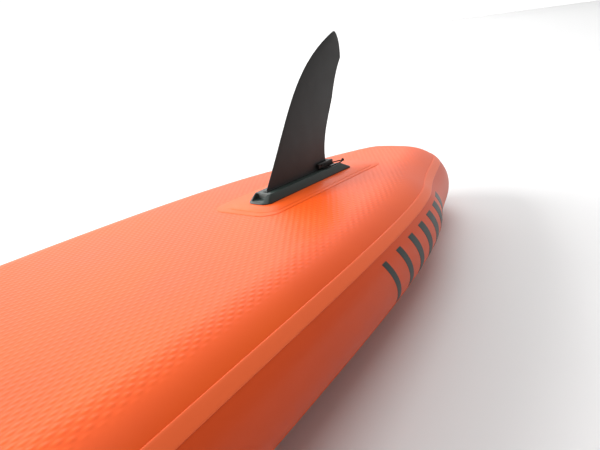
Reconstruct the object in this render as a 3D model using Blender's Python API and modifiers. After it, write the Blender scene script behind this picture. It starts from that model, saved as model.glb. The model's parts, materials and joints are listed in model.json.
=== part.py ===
"""Inflatable touring paddleboard, lying on its deck with the fin up.

Metres. +X runs from the nose to the tail, +Z is up and out of the hull, and z = 0 is the floor
that the nose and the tail rest on. The origin is at the middle of the board's box, on the floor.
Fittings are modelled in a frame of their own, with +Z out of the surface they are fixed to, and
are parented to an empty at their place on the hull or on the deck.
"""
import math

import bmesh
import bpy
from mathutils import Matrix, Vector
from mathutils.geometry import interpolate_bezier

# --- Driving dimensions -------------------------------------------------------------------------
LENGTH = 3.50
WIDTH = 0.65
THICKNESS = 0.15
RAIL_DEPTH = 0.089          # how far the round side reaches in from the outline
TAIL_RUN, TAIL_DROOP = 0.90, 0.028
NOSE_RUN, NOSE_DROOP = 1.30, 0.130
REST_LIFT = 0.00092         # brings the lowest point of the deck's straight runs to z = 0

GAP = 0.0003                # between pieces that touch
END_GAP = 0.0006            # from the middle plane to the ends of the side strips
SKIN = 0.0015               # coated cloth of the panels and the rails
TAPE = 0.0008
CORE_CLEAR = 0.0006         # between the core and the skins
JOINT_DEG, JOINT_GAP_DEG = 40.0, 0.4
TAPE_LOW_DEG, TAPE_HIGH_DEG = 34.0, 46.0

HULL, DECK = 1, -1

FIN_X = 1.335
BOX_HEIGHT = 0.014
BOX_FRONT, BOX_REAR, BOX_HALF = -0.105, 0.137, 0.0215
SLOT_HALF, KEY_HALF, KEY_HIGH = 0.0045, 0.0080, 0.0075
FIN_TONGUE = (-0.0815, 0.0870)
FIN_ROOT_HALF, FIN_TIP_HALF = 0.0036, 0.0014

HANDLE_X = 0.0
HANDLE_ARCH = 0.036
HANDLE_HALF = 0.170
NOSE_HANDLE_X = -1.42
NOSE_HANDLE_ARCH = 0.024
VALVE_X = 1.39
LEASH_X = 1.53
TOW_X = -1.50
BUNGEE_PLACES = ((-1.04, 0.120), (-0.80, 0.140))
PAD_FRONT, PAD_REAR, PAD_THICK = -0.62, 1.27, 0.005

WIRE = 0.0022               # wire radius of every ring
BAR_HALF, BAR_HEIGHT, RING_REACH = 0.0165, 0.0064, 0.022


# --- Scene and materials ------------------------------------------------------------------------
for old in list(bpy.data.objects):
    bpy.data.objects.remove(old)

PARTS = bpy.data.collections.new("paddleboard")
CUTTERS = bpy.data.collections.new("cutters")
for collection in (PARTS, CUTTERS):
    bpy.context.scene.collection.children.link(collection)

LOOKS = {
    "hull_pvc": ((0.95, 0.27, 0.06), 0.45, 0.0),
    "rail_pvc": ((0.70, 0.14, 0.04), 0.40, 0.0),
    "tape_pvc": ((0.86, 0.24, 0.08), 0.40, 0.0),
    "yarn": ((0.80, 0.80, 0.76), 0.90, 0.0),
    "nylon": ((0.035, 0.036, 0.034), 0.45, 0.0),
    "box_plastic": ((0.050, 0.056, 0.056), 0.50, 0.0),
    "cord": ((0.012, 0.012, 0.012), 0.80, 0.0),
    "webbing": ((0.030, 0.030, 0.032), 0.85, 0.0),
    "foam": ((0.16, 0.17, 0.17), 0.95, 0.0),
    "steel": ((0.62, 0.62, 0.60), 0.28, 1.0),
    "rubber": ((0.025, 0.025, 0.025), 0.70, 0.0),
    "valve_plastic": ((0.22, 0.23, 0.23), 0.45, 0.0),
}


def material(look):
    """The Principled material of one kind of stuff, made once."""
    made = bpy.data.materials.get(look)
    if made is None:
        colour, roughness, metallic = LOOKS[look]
        made = bpy.data.materials.new(look)
        made.use_nodes = True
        shader = made.node_tree.nodes["Principled BSDF"]
        shader.inputs["Base Color"].default_value = (*colour, 1.0)
        shader.inputs["Roughness"].default_value = roughness
        shader.inputs["Metallic"].default_value = metallic
    return made


def add_object(name, data, look, seat=None):
    """Link a mesh or curve as the node `name`, in the frame of its seat."""
    part = bpy.data.objects.new(name, data)
    part.data.materials.clear()
    part.data.materials.append(material(look))
    PARTS.objects.link(part)
    part.parent = seat
    return part


def finish_mesh(name, shell, look, seat=None, smooth=True):
    """Turn a bmesh into an object, with its round faces shaded smooth."""
    mesh = bpy.data.meshes.new(name)
    shell.to_mesh(mesh)
    shell.free()
    if smooth:
        mesh.shade_smooth()
        mesh.set_sharp_from_angle(angle=math.radians(35))
    return add_object(name, mesh, look, seat)


# --- The board's own curves ---------------------------------------------------------------------
def droop(x):
    """How far the mid plane bends towards the deck at x."""
    tail = max(0.0, (x - LENGTH / 2 + TAIL_RUN) / TAIL_RUN)
    nose = max(0.0, (-x - LENGTH / 2 + NOSE_RUN) / NOSE_RUN)
    return TAIL_DROOP * tail ** 2 + NOSE_DROOP * nose ** 2


REST_X = LENGTH / 2 - RAIL_DEPTH
REST_SLOPE = (droop(REST_X) - droop(-REST_X)) / (2 * REST_X)


def mid_height(x):
    """Height of the mid plane over the floor, with the board resting on its nose and tail."""
    line = droop(-REST_X) + REST_SLOPE * (x + REST_X)
    return THICKNESS / 2 + REST_LIFT + line - droop(x)


def handle(point, degrees, reach):
    turn = math.radians(degrees)
    return point + Vector((math.cos(turn), math.sin(turn), 0)) * reach


def outline():
    """The half outline from the nose tip to the tail tip: points and outward normals."""
    nose = Vector((-LENGTH / 2, 0, 0))
    nose_shoulder = Vector((-LENGTH / 2 + 0.34, 0.200, 0))
    widest = Vector((-0.20, WIDTH / 2, 0))
    hip = Vector((0.80, 0.2726, 0))
    tail_shoulder = Vector((LENGTH / 2 - 0.277, 0.190, 0))
    tail = Vector((LENGTH / 2, 0, 0))
    spans = (
        (nose, handle(nose, 90, 0.100), handle(nose_shoulder, 196, 0.120), nose_shoulder, 9),
        (nose_shoulder, handle(nose_shoulder, 16, 0.260), handle(widest, 180, 0.55), widest, 7),
        (widest, handle(widest, 0, 0.33), handle(hip, 176.6, 0.33), hip, 5),
        (hip, handle(hip, -3.4, 0.20), handle(tail_shoulder, 156.9, 0.144), tail_shoulder, 7),
        (tail_shoulder, handle(tail_shoulder, -23.1, 0.190), handle(tail, 90, 0.139), tail, 10),
    )
    points = [nose]
    for start, first, second, end, count in spans:
        points += interpolate_bezier(start, first, second, end, count)[1:]
    normals = [Vector((-1, 0, 0))]
    for before, after in zip(points, points[2:]):
        along = (after - before).normalized()
        normals.append(Vector((-along.y, along.x, 0)))
    normals.append(Vector((1, 0, 0)))
    return list(zip(points, normals))


OUTLINE = outline()


def half_width(x):
    """Half width of the board's outline at x, by straight runs between its points."""
    for (left, _), (right, _) in zip(OUTLINE, OUTLINE[1:]):
        if left.x <= x <= right.x:
            share = (x - left.x) / max(right.x - left.x, 1e-9)
            return left.y + share * (right.y - left.y)
    return 0.0


def flat_run(x):
    """Height and slope of the mid plane at x, on the straight run between two stations."""
    stops = [edge.x - normal.x * RAIL_DEPTH for edge, normal in OUTLINE]
    for start, end in zip(stops, stops[1:]):
        if start <= x <= end:
            slope = (mid_height(end) - mid_height(start)) / (end - start)
            return mid_height(start) + slope * (x - start), slope
    raise ValueError("x is past the flat of the board")


def rail_point(station, degrees, proud=0.0):
    """A point on the round side: 90 is the hull's edge line and -90 the deck's."""
    edge, normal = OUTLINE[station]
    turn = math.radians(degrees)
    place = edge + normal * ((RAIL_DEPTH + proud) * math.cos(turn) - RAIL_DEPTH)
    place.z = mid_height(place.x) + (THICKNESS / 2 + proud) * math.sin(turn)
    return place


def surface(rows, outward, name, look, thickness, mirrored=False):
    """A grid of points as a skin of even thickness that grows inward from the grid."""
    shell = bmesh.new()
    grid = [[shell.verts.new(point) for point in row] for row in rows]
    for row, following in zip(grid, grid[1:]):
        for column in range(len(row) - 1):
            shell.faces.new((row[column], following[column], following[column + 1],
                             row[column + 1]))
    bmesh.ops.remove_doubles(shell, verts=shell.verts, dist=0.00005)
    bmesh.ops.dissolve_degenerate(shell, edges=shell.edges, dist=0.00001)
    shell.normal_update()
    middle = sum((face.normal * face.calc_area() for face in shell.faces), Vector())
    if middle.dot(outward) < 0:
        bmesh.ops.reverse_faces(shell, faces=shell.faces)
    part = finish_mesh(name, shell, look)
    if mirrored:
        mirror = part.modifiers.new("other half", "MIRROR")
        mirror.use_axis = (False, True, False)
        mirror.merge_threshold = 0.0001
    skin = part.modifiers.new("skin", "SOLIDIFY")
    skin.thickness = thickness
    skin.offset = -1
    return part


def panel(name, side, look):
    """The flat hull or deck with its curve down to the side seam."""
    rows = []
    for station in range(len(OUTLINE)):
        edge = rail_point(station, 90 * side)
        flat = [Vector((edge.x, 0, edge.z))]
        curve = [rail_point(station, side * angle) for angle in (90, 73, 56, JOINT_DEG + JOINT_GAP_DEG)]
        rows.append(flat + curve)
    return surface(rows, Vector((0, 0, side)), name, look, SKIN, mirrored=True)


def side_strip(name, flank, angles, proud, look, thickness):
    """A strip along one side of the board, from the nose tip to the tail tip."""
    rows = []
    for station in range(len(OUTLINE)):
        points = [rail_point(station, angle, proud) for angle in angles]
        for point in points:
            point.y = flank * max(point.y, END_GAP)
        rows.append(points)
    return surface(rows, Vector((0, flank, 0)), name, look, thickness)


def lattice(name, counts, corner, look, seat=None, solid=None, smooth=False):
    """A closed solid from the cells of a bent lattice; corner(i, j, k) places its corners."""
    shell = bmesh.new()
    made = {}

    def vert(key):
        if key not in made:
            made[key] = shell.verts.new(corner(*key))
        return made[key]

    def filled(cell):
        inside = all(0 <= index < count for index, count in zip(cell, counts))
        return inside and (solid is None or solid(*cell))

    squares = {0: ((0, 0, 0), (0, 1, 0), (0, 1, 1), (0, 0, 1)),
               1: ((0, 0, 0), (0, 0, 1), (1, 0, 1), (1, 0, 0)),
               2: ((0, 0, 0), (1, 0, 0), (1, 1, 0), (0, 1, 0))}
    for i in range(counts[0]):
        for j in range(counts[1]):
            for k in range(counts[2]):
                cell = (i, j, k)
                if not filled(cell):
                    continue
                for axis, square in squares.items():
                    for step in (0, 1):
                        other = list(cell)
                        other[axis] += 2 * step - 1
                        if filled(tuple(other)):
                            continue
                        keys = []
                        for offset in square:
                            key = [a + b for a, b in zip(cell, offset)]
                            key[axis] += step
                            keys.append(tuple(key))
                        shell.faces.new([vert(key) for key in keys])
    bmesh.ops.recalc_face_normals(shell, faces=shell.faces)
    return finish_mesh(name, shell, look, seat, smooth)


# --- Places for fittings ------------------------------------------------------------------------
def seat_at(name, x, y, side):
    """An empty on the hull or the deck, with its own +Z pointing out of the board."""
    height, rise = flat_run(x)
    slope = math.atan(rise)
    along = Vector((math.cos(slope), 0, math.sin(slope)))
    out = Vector((-math.sin(slope), 0, math.cos(slope))) * side
    across = out.cross(along)
    seat = bpy.data.objects.new(name, None)
    seat.empty_display_size = 0.03
    seat.matrix_world = Matrix.Translation((x, y, height + side * THICKNESS / 2)) @ Matrix(
        (along, across, out)).transposed().to_4x4()
    PARTS.objects.link(seat)
    seat["place_x"] = x
    seat["side"] = side
    return seat


def bow(seat, x):
    """Height of the board's surface at x in the seat's frame, where the rocker bends it away."""
    height, rise = flat_run(seat["place_x"])
    return seat["side"] * (flat_run(seat["place_x"] + x)[0] - height - rise * x)


def sheet(name, stations, low, high, look, seat, solid=None, ways=(-1, 1)):
    """A flat piece that follows the rocker; stations are (x, half width)."""
    def corner(i, j, k):
        x, half = stations[i]
        return (x, half * ways[j], bow(seat, x) + (low, high)[k])
    return lattice(name, (len(stations) - 1, len(ways) - 1, 1), corner, look, seat, solid)


def rounded(front, rear, half, corner_radius, steps=4):
    """Stations of a rectangle with round corners, for sheet()."""
    stations = []
    for step in range(steps + 1):
        turn = math.pi / 2 * step / steps
        stations.append((front + corner_radius * (1 - math.cos(turn)),
                         half - corner_radius * (1 - math.sin(turn))))
    mirrored = [(front + rear - x, width) for x, width in reversed(stations)]
    middle = []
    spans = 4
    for step in range(1, spans):
        share = step / spans
        middle.append((stations[-1][0] + (mirrored[0][0] - stations[-1][0]) * share, half))
    return stations + middle + mirrored


def strap(name, path, half, thickness, look, seat, side_offset=0.0):
    """Flat webbing along a path of (x, z) points, bent about Y."""
    def corner(i, j, k):
        before = Vector(path[max(i - 1, 0)])
        after = Vector(path[min(i + 1, len(path) - 1)])
        along = (after - before).normalized()
        lift = (k - 0.5) * thickness
        return (path[i][0] - along.y * lift, side_offset + (2 * j - 1) * half,
                path[i][1] + along.x * lift)
    return lattice(name, (len(path) - 1, 1, 1), corner, look, seat, smooth=True)


def wire(name, points, radius, look, seat, closed=False, sides=2):
    """A round wire, ring or cord through the points."""
    curve = bpy.data.curves.new(name, "CURVE")
    curve.dimensions = "3D"
    curve.bevel_depth = radius
    curve.bevel_resolution = sides
    curve.use_fill_caps = not closed
    spline = curve.splines.new("POLY")
    spline.points.add(len(points) - 1)
    for knot, point in zip(spline.points, points):
        knot.co = (*point, 1.0)
    spline.use_cyclic_u = closed
    return add_object(name, curve, look, seat)


def turned(name, profile, look, seat, steps=24):
    """A solid of revolution about Z; the closed profile of (radius, z) runs down its outside."""
    shell = bmesh.new()
    corners = [shell.verts.new((radius, 0, height)) for radius, height in profile]
    for start, end in zip(corners, corners[1:] + corners[:1]):
        if start.co.x > 1e-6 or end.co.x > 1e-6:
            shell.edges.new((start, end))
    part = finish_mesh(name, shell, look, seat, smooth=False)
    screw = part.modifiers.new("turn", "SCREW")
    screw.steps = screw.render_steps = steps
    screw.use_merge_vertices = True
    screw.merge_threshold = 0.00002
    screw.use_smooth_shade = True
    return part


def cutter_box(name, low, high, seat):
    """A hidden box, for Booleans, between two corners in the seat's frame."""
    box = bmesh.new()
    bmesh.ops.create_cube(box, size=1.0)
    for vert in box.verts:
        vert.co = Vector([a + (b - a) * (c + 0.5) for a, b, c in zip(low, high, vert.co)])
    return hide_cutter(finish_mesh(name, box, "nylon", seat, smooth=False))


def hide_cutter(tool):
    PARTS.objects.unlink(tool)
    CUTTERS.objects.link(tool)
    tool.hide_render = True
    tool.display_type = "WIRE"
    return tool


def combine(part, tool, operation):
    change = part.modifiers.new(operation.lower(), "BOOLEAN")
    change.operation = operation
    change.object = tool


# --- Air chamber --------------------------------------------------------------------------------
def build_board():
    panel("hull_panel", HULL, "hull_pvc")
    deck = panel("deck_panel", DECK, "hull_pvc")
    edge = JOINT_DEG - JOINT_GAP_DEG
    side_angles = [edge * (1 - step / 2) for step in range(5)]
    for word, flank in (("left", 1), ("right", -1)):
        side_strip(f"rail_{word}", flank, side_angles, 0.0, "rail_pvc", SKIN)
        for face, side in (("hull", 1), ("deck", -1)):
            angles = [side * TAPE_HIGH_DEG, side * JOINT_DEG, side * TAPE_LOW_DEG]
            side_strip(f"{face}_seam_tape_{word}", flank, angles, GAP + TAPE, "tape_pvc", TAPE)
    return deck


def build_core():
    """Two cloths held apart by rows of yarn, open at both ends."""
    rows = 5
    walls = 2 * rows - 1
    cloth = 0.001
    reach = THICKNESS / 2 - SKIN - CORE_CLEAR
    stations = range(2, len(OUTLINE) - 2)
    pitch = 2.0 / (rows - 1)
    wall_share = 0.008
    columns = []
    for row in range(rows):
        centre = -1 + row * pitch * (1 - wall_share)
        columns += [centre, centre + 2 * wall_share]

    def corner(i, j, k):
        edge = rail_point(stations[i], 90)
        height = (-reach, -reach + cloth, reach - cloth, reach)[k]
        return (edge.x, edge.y * columns[j], mid_height(edge.x) + height)

    def solid(i, j, k):
        return k != 1 or j % 2 == 0
    return lattice("drop_stitch_core", (len(stations) - 1, walls, 3), corner, "yarn",
                   solid=solid)


# --- Fin and its box ----------------------------------------------------------------------------
def along_bezier(knots, count):
    """Points of a chain of Bezier spans; each span is (start, handle, handle, end)."""
    points = []
    for start, first, second, end in knots:
        span = interpolate_bezier(*[Vector((*p, 0)) for p in (start, first, second, end)], count)
        points += [(p.x, p.y) for p in span]
    return points


def at_height(points, height):
    """Where a rising or falling edge crosses a height."""
    for (x0, z0), (x1, z1) in zip(points, points[1:]):
        if min(z0, z1) <= height <= max(z0, z1) and z0 != z1:
            return x0 + (x1 - x0) * (height - z0) / (z1 - z0)
    return points[-1][0]


FIN_TIP = (0.1511, 0.2379)
LEADING_EDGE = [((-0.0812, 0.0120), (0.0010, 0.1195), (0.0220, 0.1911), FIN_TIP)]
TRAILING_EDGE = [
    (FIN_TIP, (0.1600, 0.2379), (0.1690, 0.2180), (0.1640, 0.1918)),
    ((0.1640, 0.1918), (0.1500, 0.1760), (0.1400, 0.1600), (0.1277, 0.1310)),
    ((0.1277, 0.1310), (0.1180, 0.1080), (0.0770, 0.0620), (0.0880, 0.0120)),
]


def build_fin(seat):
    leading = along_bezier(LEADING_EDGE, 40)
    trailing = along_bezier(TRAILING_EDGE, 20)
    root = BOX_HEIGHT - 0.003
    heights = [root + 0.0005 + (FIN_TIP[1] - 0.0022 - root) * step / 15 for step in range(16)]
    foil = ((0.0, 0.18), (0.06, 0.62), (0.22, 0.95), (0.45, 1.0), (0.72, 0.72), (0.92, 0.32),
            (1.0, 0.16))
    shell = bmesh.new()
    ribs = []
    for height in heights:
        front = at_height(leading, max(height, 0.0121))
        rear = at_height(trailing, max(height, 0.0121))
        share = (height - heights[0]) / (heights[-1] - heights[0])
        half = FIN_ROOT_HALF + (FIN_TIP_HALF - FIN_ROOT_HALF) * share
        near = [(front + (rear - front) * u, -half * t, height) for u, t in foil]
        far = [(x, -y, z) for x, y, z in reversed(near)]
        ribs.append([shell.verts.new(point) for point in near + far])
    for low, high in zip(ribs, ribs[1:]):
        for index in range(len(low)):
            after = (index + 1) % len(low)
            shell.faces.new((low[index], low[after], high[after], high[index]))
    shell.faces.new(list(reversed(ribs[0])))
    shell.faces.new(ribs[-1])
    fin = finish_mesh("fin", shell, "nylon", seat)
    front, rear = FIN_TONGUE
    clear = 0.0008
    web = cutter_box("fin_web", (front, -SLOT_HALF + clear, 0.0035),
                     (rear, SLOT_HALF - clear, BOX_HEIGHT + 0.0015), seat)
    key = cutter_box("fin_key", (front, -KEY_HALF + clear, 0.0030),
                     (rear, KEY_HALF - clear, KEY_HIGH - 0.0006), seat)
    combine(fin, web, "UNION")
    combine(fin, key, "UNION")
    return fin


def build_fin_box(seat):
    """A long low block with sloping sides and a keyed channel that is open at the rear."""
    slope = 0.005
    nose_slope, tail_slope = 0.012, 0.024
    low = 0.0016

    shell = bmesh.new()
    bottom = box_ring(BOX_FRONT, BOX_REAR, BOX_HALF, low, 0.013, 0.008)
    top = box_ring(BOX_FRONT + nose_slope, BOX_REAR - tail_slope, BOX_HALF - slope,
                   BOX_HEIGHT, 0.009, 0.005)
    lower = [shell.verts.new(point) for point in bottom]
    upper = [shell.verts.new(point) for point in top]
    for index in range(len(lower)):
        after = (index + 1) % len(lower)
        shell.faces.new((lower[index], lower[after], upper[after], upper[index]))
    shell.faces.new(list(reversed(lower)))
    shell.faces.new(upper)
    box = finish_mesh("fin_box", shell, "box_plastic", seat)
    channel_front = FIN_TONGUE[0] - 0.0006
    beyond = BOX_REAR + 0.02
    slot = cutter_box("box_slot", (channel_front, -SLOT_HALF, 0.0027),
                      (beyond, SLOT_HALF, BOX_HEIGHT + 0.01), seat)
    key = cutter_box("box_key", (channel_front, -KEY_HALF, 0.0024),
                     (beyond, KEY_HALF, KEY_HIGH), seat)
    step = cutter_box("box_step", (BOX_FRONT - 0.01, -0.0120, BOX_HEIGHT - 0.0090),
                      (FIN_TONGUE[0] - 0.006, 0.0120, BOX_HEIGHT + 0.01), seat)
    for tool in (slot, key, step):
        combine(box, tool, "DIFFERENCE")
    return box


def box_ring(front, rear, half, height, nose_radius, tail_radius):
    """A rectangle with round corners, counter-clockwise from above."""
    corners = ((rear, -half, tail_radius, -90), (rear, half, tail_radius, 0),
               (front, half, nose_radius, 90), (front, -half, nose_radius, 180))
    points = []
    for x, y, radius, start in corners:
        centre_x = x - math.copysign(radius, x)
        centre_y = y - math.copysign(radius, y)
        for step in range(4):
            turn = math.radians(start + 30 * step)
            points.append((centre_x + radius * math.cos(turn),
                           centre_y + radius * math.sin(turn), height))
    return points


CLIP_FRONT, CLIP_REAR, CLIP_HALF = 0.0550, 0.0980, 0.0085
CLIP_LOW, CLIP_HIGH = BOX_HEIGHT + 0.0018, BOX_HEIGHT + 0.0110
CLIP_LEG = (0.0893, 0.0960)


def build_clip(seat):
    """A saddle over the rear of the fin's root, with a leg down into the slot behind it."""
    body = bmesh.new()
    bmesh.ops.create_cube(body, size=1.0)
    low = (CLIP_FRONT, -CLIP_HALF, CLIP_LOW)
    high = (CLIP_REAR, CLIP_HALF, CLIP_HIGH)
    for vert in body.verts:
        vert.co = Vector([a + (b - a) * (c + 0.5) for a, b, c in zip(low, high, vert.co)])
    clip = finish_mesh("fin_clip", body, "nylon", seat, smooth=False)
    edge = clip.modifiers.new("soft edges", "BEVEL")
    edge.width = 0.0018
    edge.segments = 2
    leg = cutter_box("clip_leg", (CLIP_LEG[0], -SLOT_HALF + 0.0008, 0.0040),
                     (CLIP_LEG[1], SLOT_HALF - 0.0008, CLIP_LOW + 0.003), seat)
    gap = cutter_box("clip_gap", (CLIP_FRONT - 0.01, -FIN_ROOT_HALF - 0.0006, 0.0),
                     (0.0890, FIN_ROOT_HALF + 0.0006, CLIP_HIGH + 0.01), seat)
    combine(clip, gap, "DIFFERENCE")
    combine(clip, leg, "UNION")
    return clip


CLIP_CORD_RADIUS = 0.0011
CLIP_CORD = (
    (0.0590, -0.0099, 0.0226), (0.0700, -0.0101, 0.0216), (0.0840, -0.0103, 0.0204),
    (0.0980, -0.0105, 0.0192), (0.1100, -0.0109, 0.0180), (0.1175, -0.0122, 0.0173),
    (0.1185, -0.0144, 0.0168), (0.1140, -0.0158, 0.0163), (0.1040, -0.0162, 0.0160),
    (0.0920, -0.0160, 0.0160), (0.0800, -0.0156, 0.0160), (0.0700, -0.0140, 0.0162),
    (0.0640, -0.0115, 0.0166), (0.0600, -0.0100, 0.0168),
)


def smooth_through(points, per_span):
    """Points of a smooth curve through the given ones."""
    knots = [Vector(point) for point in points]
    made = []
    for index in range(len(knots) - 1):
        before = knots[max(index - 1, 0)]
        start, end = knots[index], knots[index + 1]
        after = knots[min(index + 2, len(knots) - 1)]
        first = start + (end - before) / 6
        second = end - (after - start) / 6
        made += interpolate_bezier(start, first, second, end, per_span + 1)[:-1]
    return made + [knots[-1]]


def build_fin_group():
    seat = seat_at("fin_seat", FIN_X, 0.0, HULL)
    patch = rounded(-0.147, 0.190, 0.061, 0.030, steps=5)
    sheet("fin_patch", patch, GAP, 0.0012, "hull_pvc", seat)
    build_fin_box(seat)
    build_fin(seat)
    build_clip(seat)
    wire("fin_clip_cord", smooth_through(CLIP_CORD, 2), CLIP_CORD_RADIUS, "cord", seat)
    toggle = bpy.data.objects.new("toggle_place", None)
    toggle.location = (0.1224, -0.0130, 0.0174)
    toggle.parent = seat
    PARTS.objects.link(toggle)
    bead = 0.0026
    rim = [(bead * math.sin(math.radians(a)), bead * math.cos(math.radians(a)))
           for a in range(0, 181, 30)]
    turned("fin_clip_toggle", rim, "cord", toggle, steps=12)
    return seat


# --- Rings on webbing ---------------------------------------------------------------------------
def ring_points(lying):
    """A D of wire: its bar on the hinge line and its bow out of the surface, or lying along X."""
    bow_points = 9
    points = [(0.0, -BAR_HALF, 0.0), (0.0, BAR_HALF, 0.0)]
    side = RING_REACH - BAR_HALF
    points.append((0.0, BAR_HALF, side))
    for step in range(1, bow_points):
        turn = math.pi * step / bow_points
        points.append((0.0, BAR_HALF * math.cos(turn), side + BAR_HALF * math.sin(turn)))
    points.append((0.0, -BAR_HALF, side))
    if lying:
        return [(lying * z, y, BAR_HEIGHT) for _, y, z in points]
    return [(x, y, z + BAR_HEIGHT) for x, y, z in points]


def ring_set(name, x, y, side, lying=0):
    """A welded patch, a webbing loop and the ring that turns in it."""
    seat = seat_at(f"{name}_seat", x, y, side)
    radius = 0.036
    stations = [(-radius * math.cos(math.pi * (step + 0.3) / 12.6),
                 radius * math.sin(math.pi * (step + 0.3) / 12.6)) for step in range(13)]
    sheet(f"{name}_patch", stations, GAP, 0.0012, "hull_pvc", seat)
    thick = 0.0014
    foot = 0.0012 + GAP + thick / 2
    around = WIRE + GAP * 2 + thick / 2
    path = [(-0.022, foot), (-around - 0.0035, foot)]
    for angle in range(180, -1, -30):
        turn = math.radians(angle)
        path.append((around * math.cos(turn), BAR_HEIGHT + around * math.sin(turn)))
    path += [(around + 0.0035, foot), (0.022, foot)]
    strap(f"{name}_webbing", path, 0.0120, thick, "webbing", seat)
    wire(f"{name}_ring", ring_points(lying), WIRE, "steel", seat, closed=True, sides=1)
    return seat


# --- Handles and deck pad -----------------------------------------------------------------------
def arch(half, foot, top, run, rise):
    """A strap path: a foot, a rise, a level top and the same again."""
    left = [(-half, foot), (-half + run, foot), (-half + run + rise * 0.35, foot + (top - foot) * 0.3),
            (-half + run + rise * 0.7, foot + (top - foot) * 0.8), (-half + run + rise, top)]
    inner = half - run - rise
    middle = [(-inner / 3, top), (inner / 3, top)]
    return left + middle + [(-x, z) for x, z in reversed(left)]


def build_handle():
    seat = seat_at("handle_seat", HANDLE_X, 0.0, DECK)
    sheet("handle_patch", rounded(-0.200, 0.200, 0.045, 0.02), GAP, 0.0012, "hull_pvc", seat)
    thick = 0.002
    foot = 0.0012 + GAP + thick / 2
    strap("handle_strap", arch(HANDLE_HALF, foot, HANDLE_ARCH, 0.045, 0.055), 0.019, thick,
          "webbing", seat)
    length, clear = 0.055, 0.0006
    loops = []
    sides = 20
    for wide, high in ((0.0245, 0.0085), (0.019 + clear, thick / 2 + clear)):
        loop = []
        for step in range(sides):
            turn = 2 * math.pi * step / sides
            squareness = 0.5 if high > 0.005 else 0.15
            loop.append((wide * math.copysign(abs(math.cos(turn)) ** squareness, math.cos(turn)),
                         high * math.copysign(abs(math.sin(turn)) ** squareness,
                                              math.sin(turn))))
        loops.append(loop)

    def corner(i, j, k):
        y, z = loops[k][j % sides]
        return ((2 * i - 1) * length, y, HANDLE_ARCH + z)
    return tube_between("handle_grip", corner, sides, "foam", seat)


def tube_between(name, corner, sides, look, seat):
    """A sleeve between an outer and an inner loop; corner(i, j, k) has k 0 outside, 1 inside."""
    shell = bmesh.new()
    verts = {(i, j, k): shell.verts.new(corner(i, j, k))
             for i in (0, 1) for j in range(sides) for k in (0, 1)}
    for j in range(sides):
        n = (j + 1) % sides
        shell.faces.new((verts[0, j, 0], verts[1, j, 0], verts[1, n, 0], verts[0, n, 0]))
        shell.faces.new((verts[0, j, 1], verts[0, n, 1], verts[1, n, 1], verts[1, j, 1]))
        for i in (0, 1):
            shell.faces.new((verts[i, j, 0], verts[i, n, 0], verts[i, n, 1], verts[i, j, 1]))
    bmesh.ops.recalc_face_normals(shell, faces=shell.faces)
    return finish_mesh(name, shell, look, seat)


def build_nose_handle():
    seat = seat_at("nose_handle_seat", NOSE_HANDLE_X, 0.0, DECK)
    sheet("nose_handle_patch", rounded(-0.110, 0.110, 0.032, 0.02), GAP, 0.0012, "hull_pvc", seat)
    thick = 0.002
    path = arch(0.100, 0, NOSE_HANDLE_ARCH, 0.028, 0.032)
    path = [(x, z + bow(seat, x) + 0.0012 + GAP + thick / 2) for x, z in path]
    strap("nose_handle_strap", path, 0.0125, thick, "webbing", seat)


def build_deck_pad():
    seat = seat_at("pad_seat", 0.0, 0.0, DECK)
    cut_half, cut_long, round_end = 0.075, 0.225, 0.10
    stops = [edge.x - normal.x * RAIL_DEPTH for edge, normal in OUTLINE]
    ends = (PAD_FRONT + round_end, -cut_long, cut_long, PAD_REAR)
    marks = [PAD_FRONT + share * round_end for share in (0, 0.15, 0.5)] + list(ends)
    marks += [x for x in stops if ends[0] < x < PAD_REAR and min(abs(x - e) for e in ends) > 0.02]
    marks.sort()

    def corner(i, j, k):
        x = marks[i]
        into = min(1.0, (x - PAD_FRONT) / round_end)
        half = (half_width(x) - RAIL_DEPTH - 0.004) * (0.72 + 0.28 * math.sqrt(into * (2 - into)))
        inner = min(cut_half, half * 0.6)
        y = (-half, -inner, inner, half)[j]
        return (x, y, bow(seat, x) + (GAP, PAD_THICK)[k])

    def solid(i, j, k):
        return j != 1 or not -cut_long <= marks[i] < cut_long
    lattice("deck_pad", (len(marks) - 1, 3, 1), corner, "foam", seat, solid)

    kick = [PAD_REAR - 0.11, PAD_REAR - 0.06, PAD_REAR - 0.01]
    rise = (0.0010, 0.0150, 0.0030)

    def kick_corner(i, j, k):
        x = kick[i]
        half = half_width(PAD_REAR) - RAIL_DEPTH - 0.03
        height = PAD_THICK + GAP + (rise[i] if k else 0.0)
        return (x, half * (2 * j / 4 - 1), bow(seat, x) + height)
    lattice("kick_stop", (2, 4, 1), kick_corner, "foam", seat)


# --- Valve --------------------------------------------------------------------------------------
VALVE_DEPTH = 0.040
VALVE_BORE, VALVE_TUBE, VALVE_FLANGE = 0.0142, 0.0160, 0.0250


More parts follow.
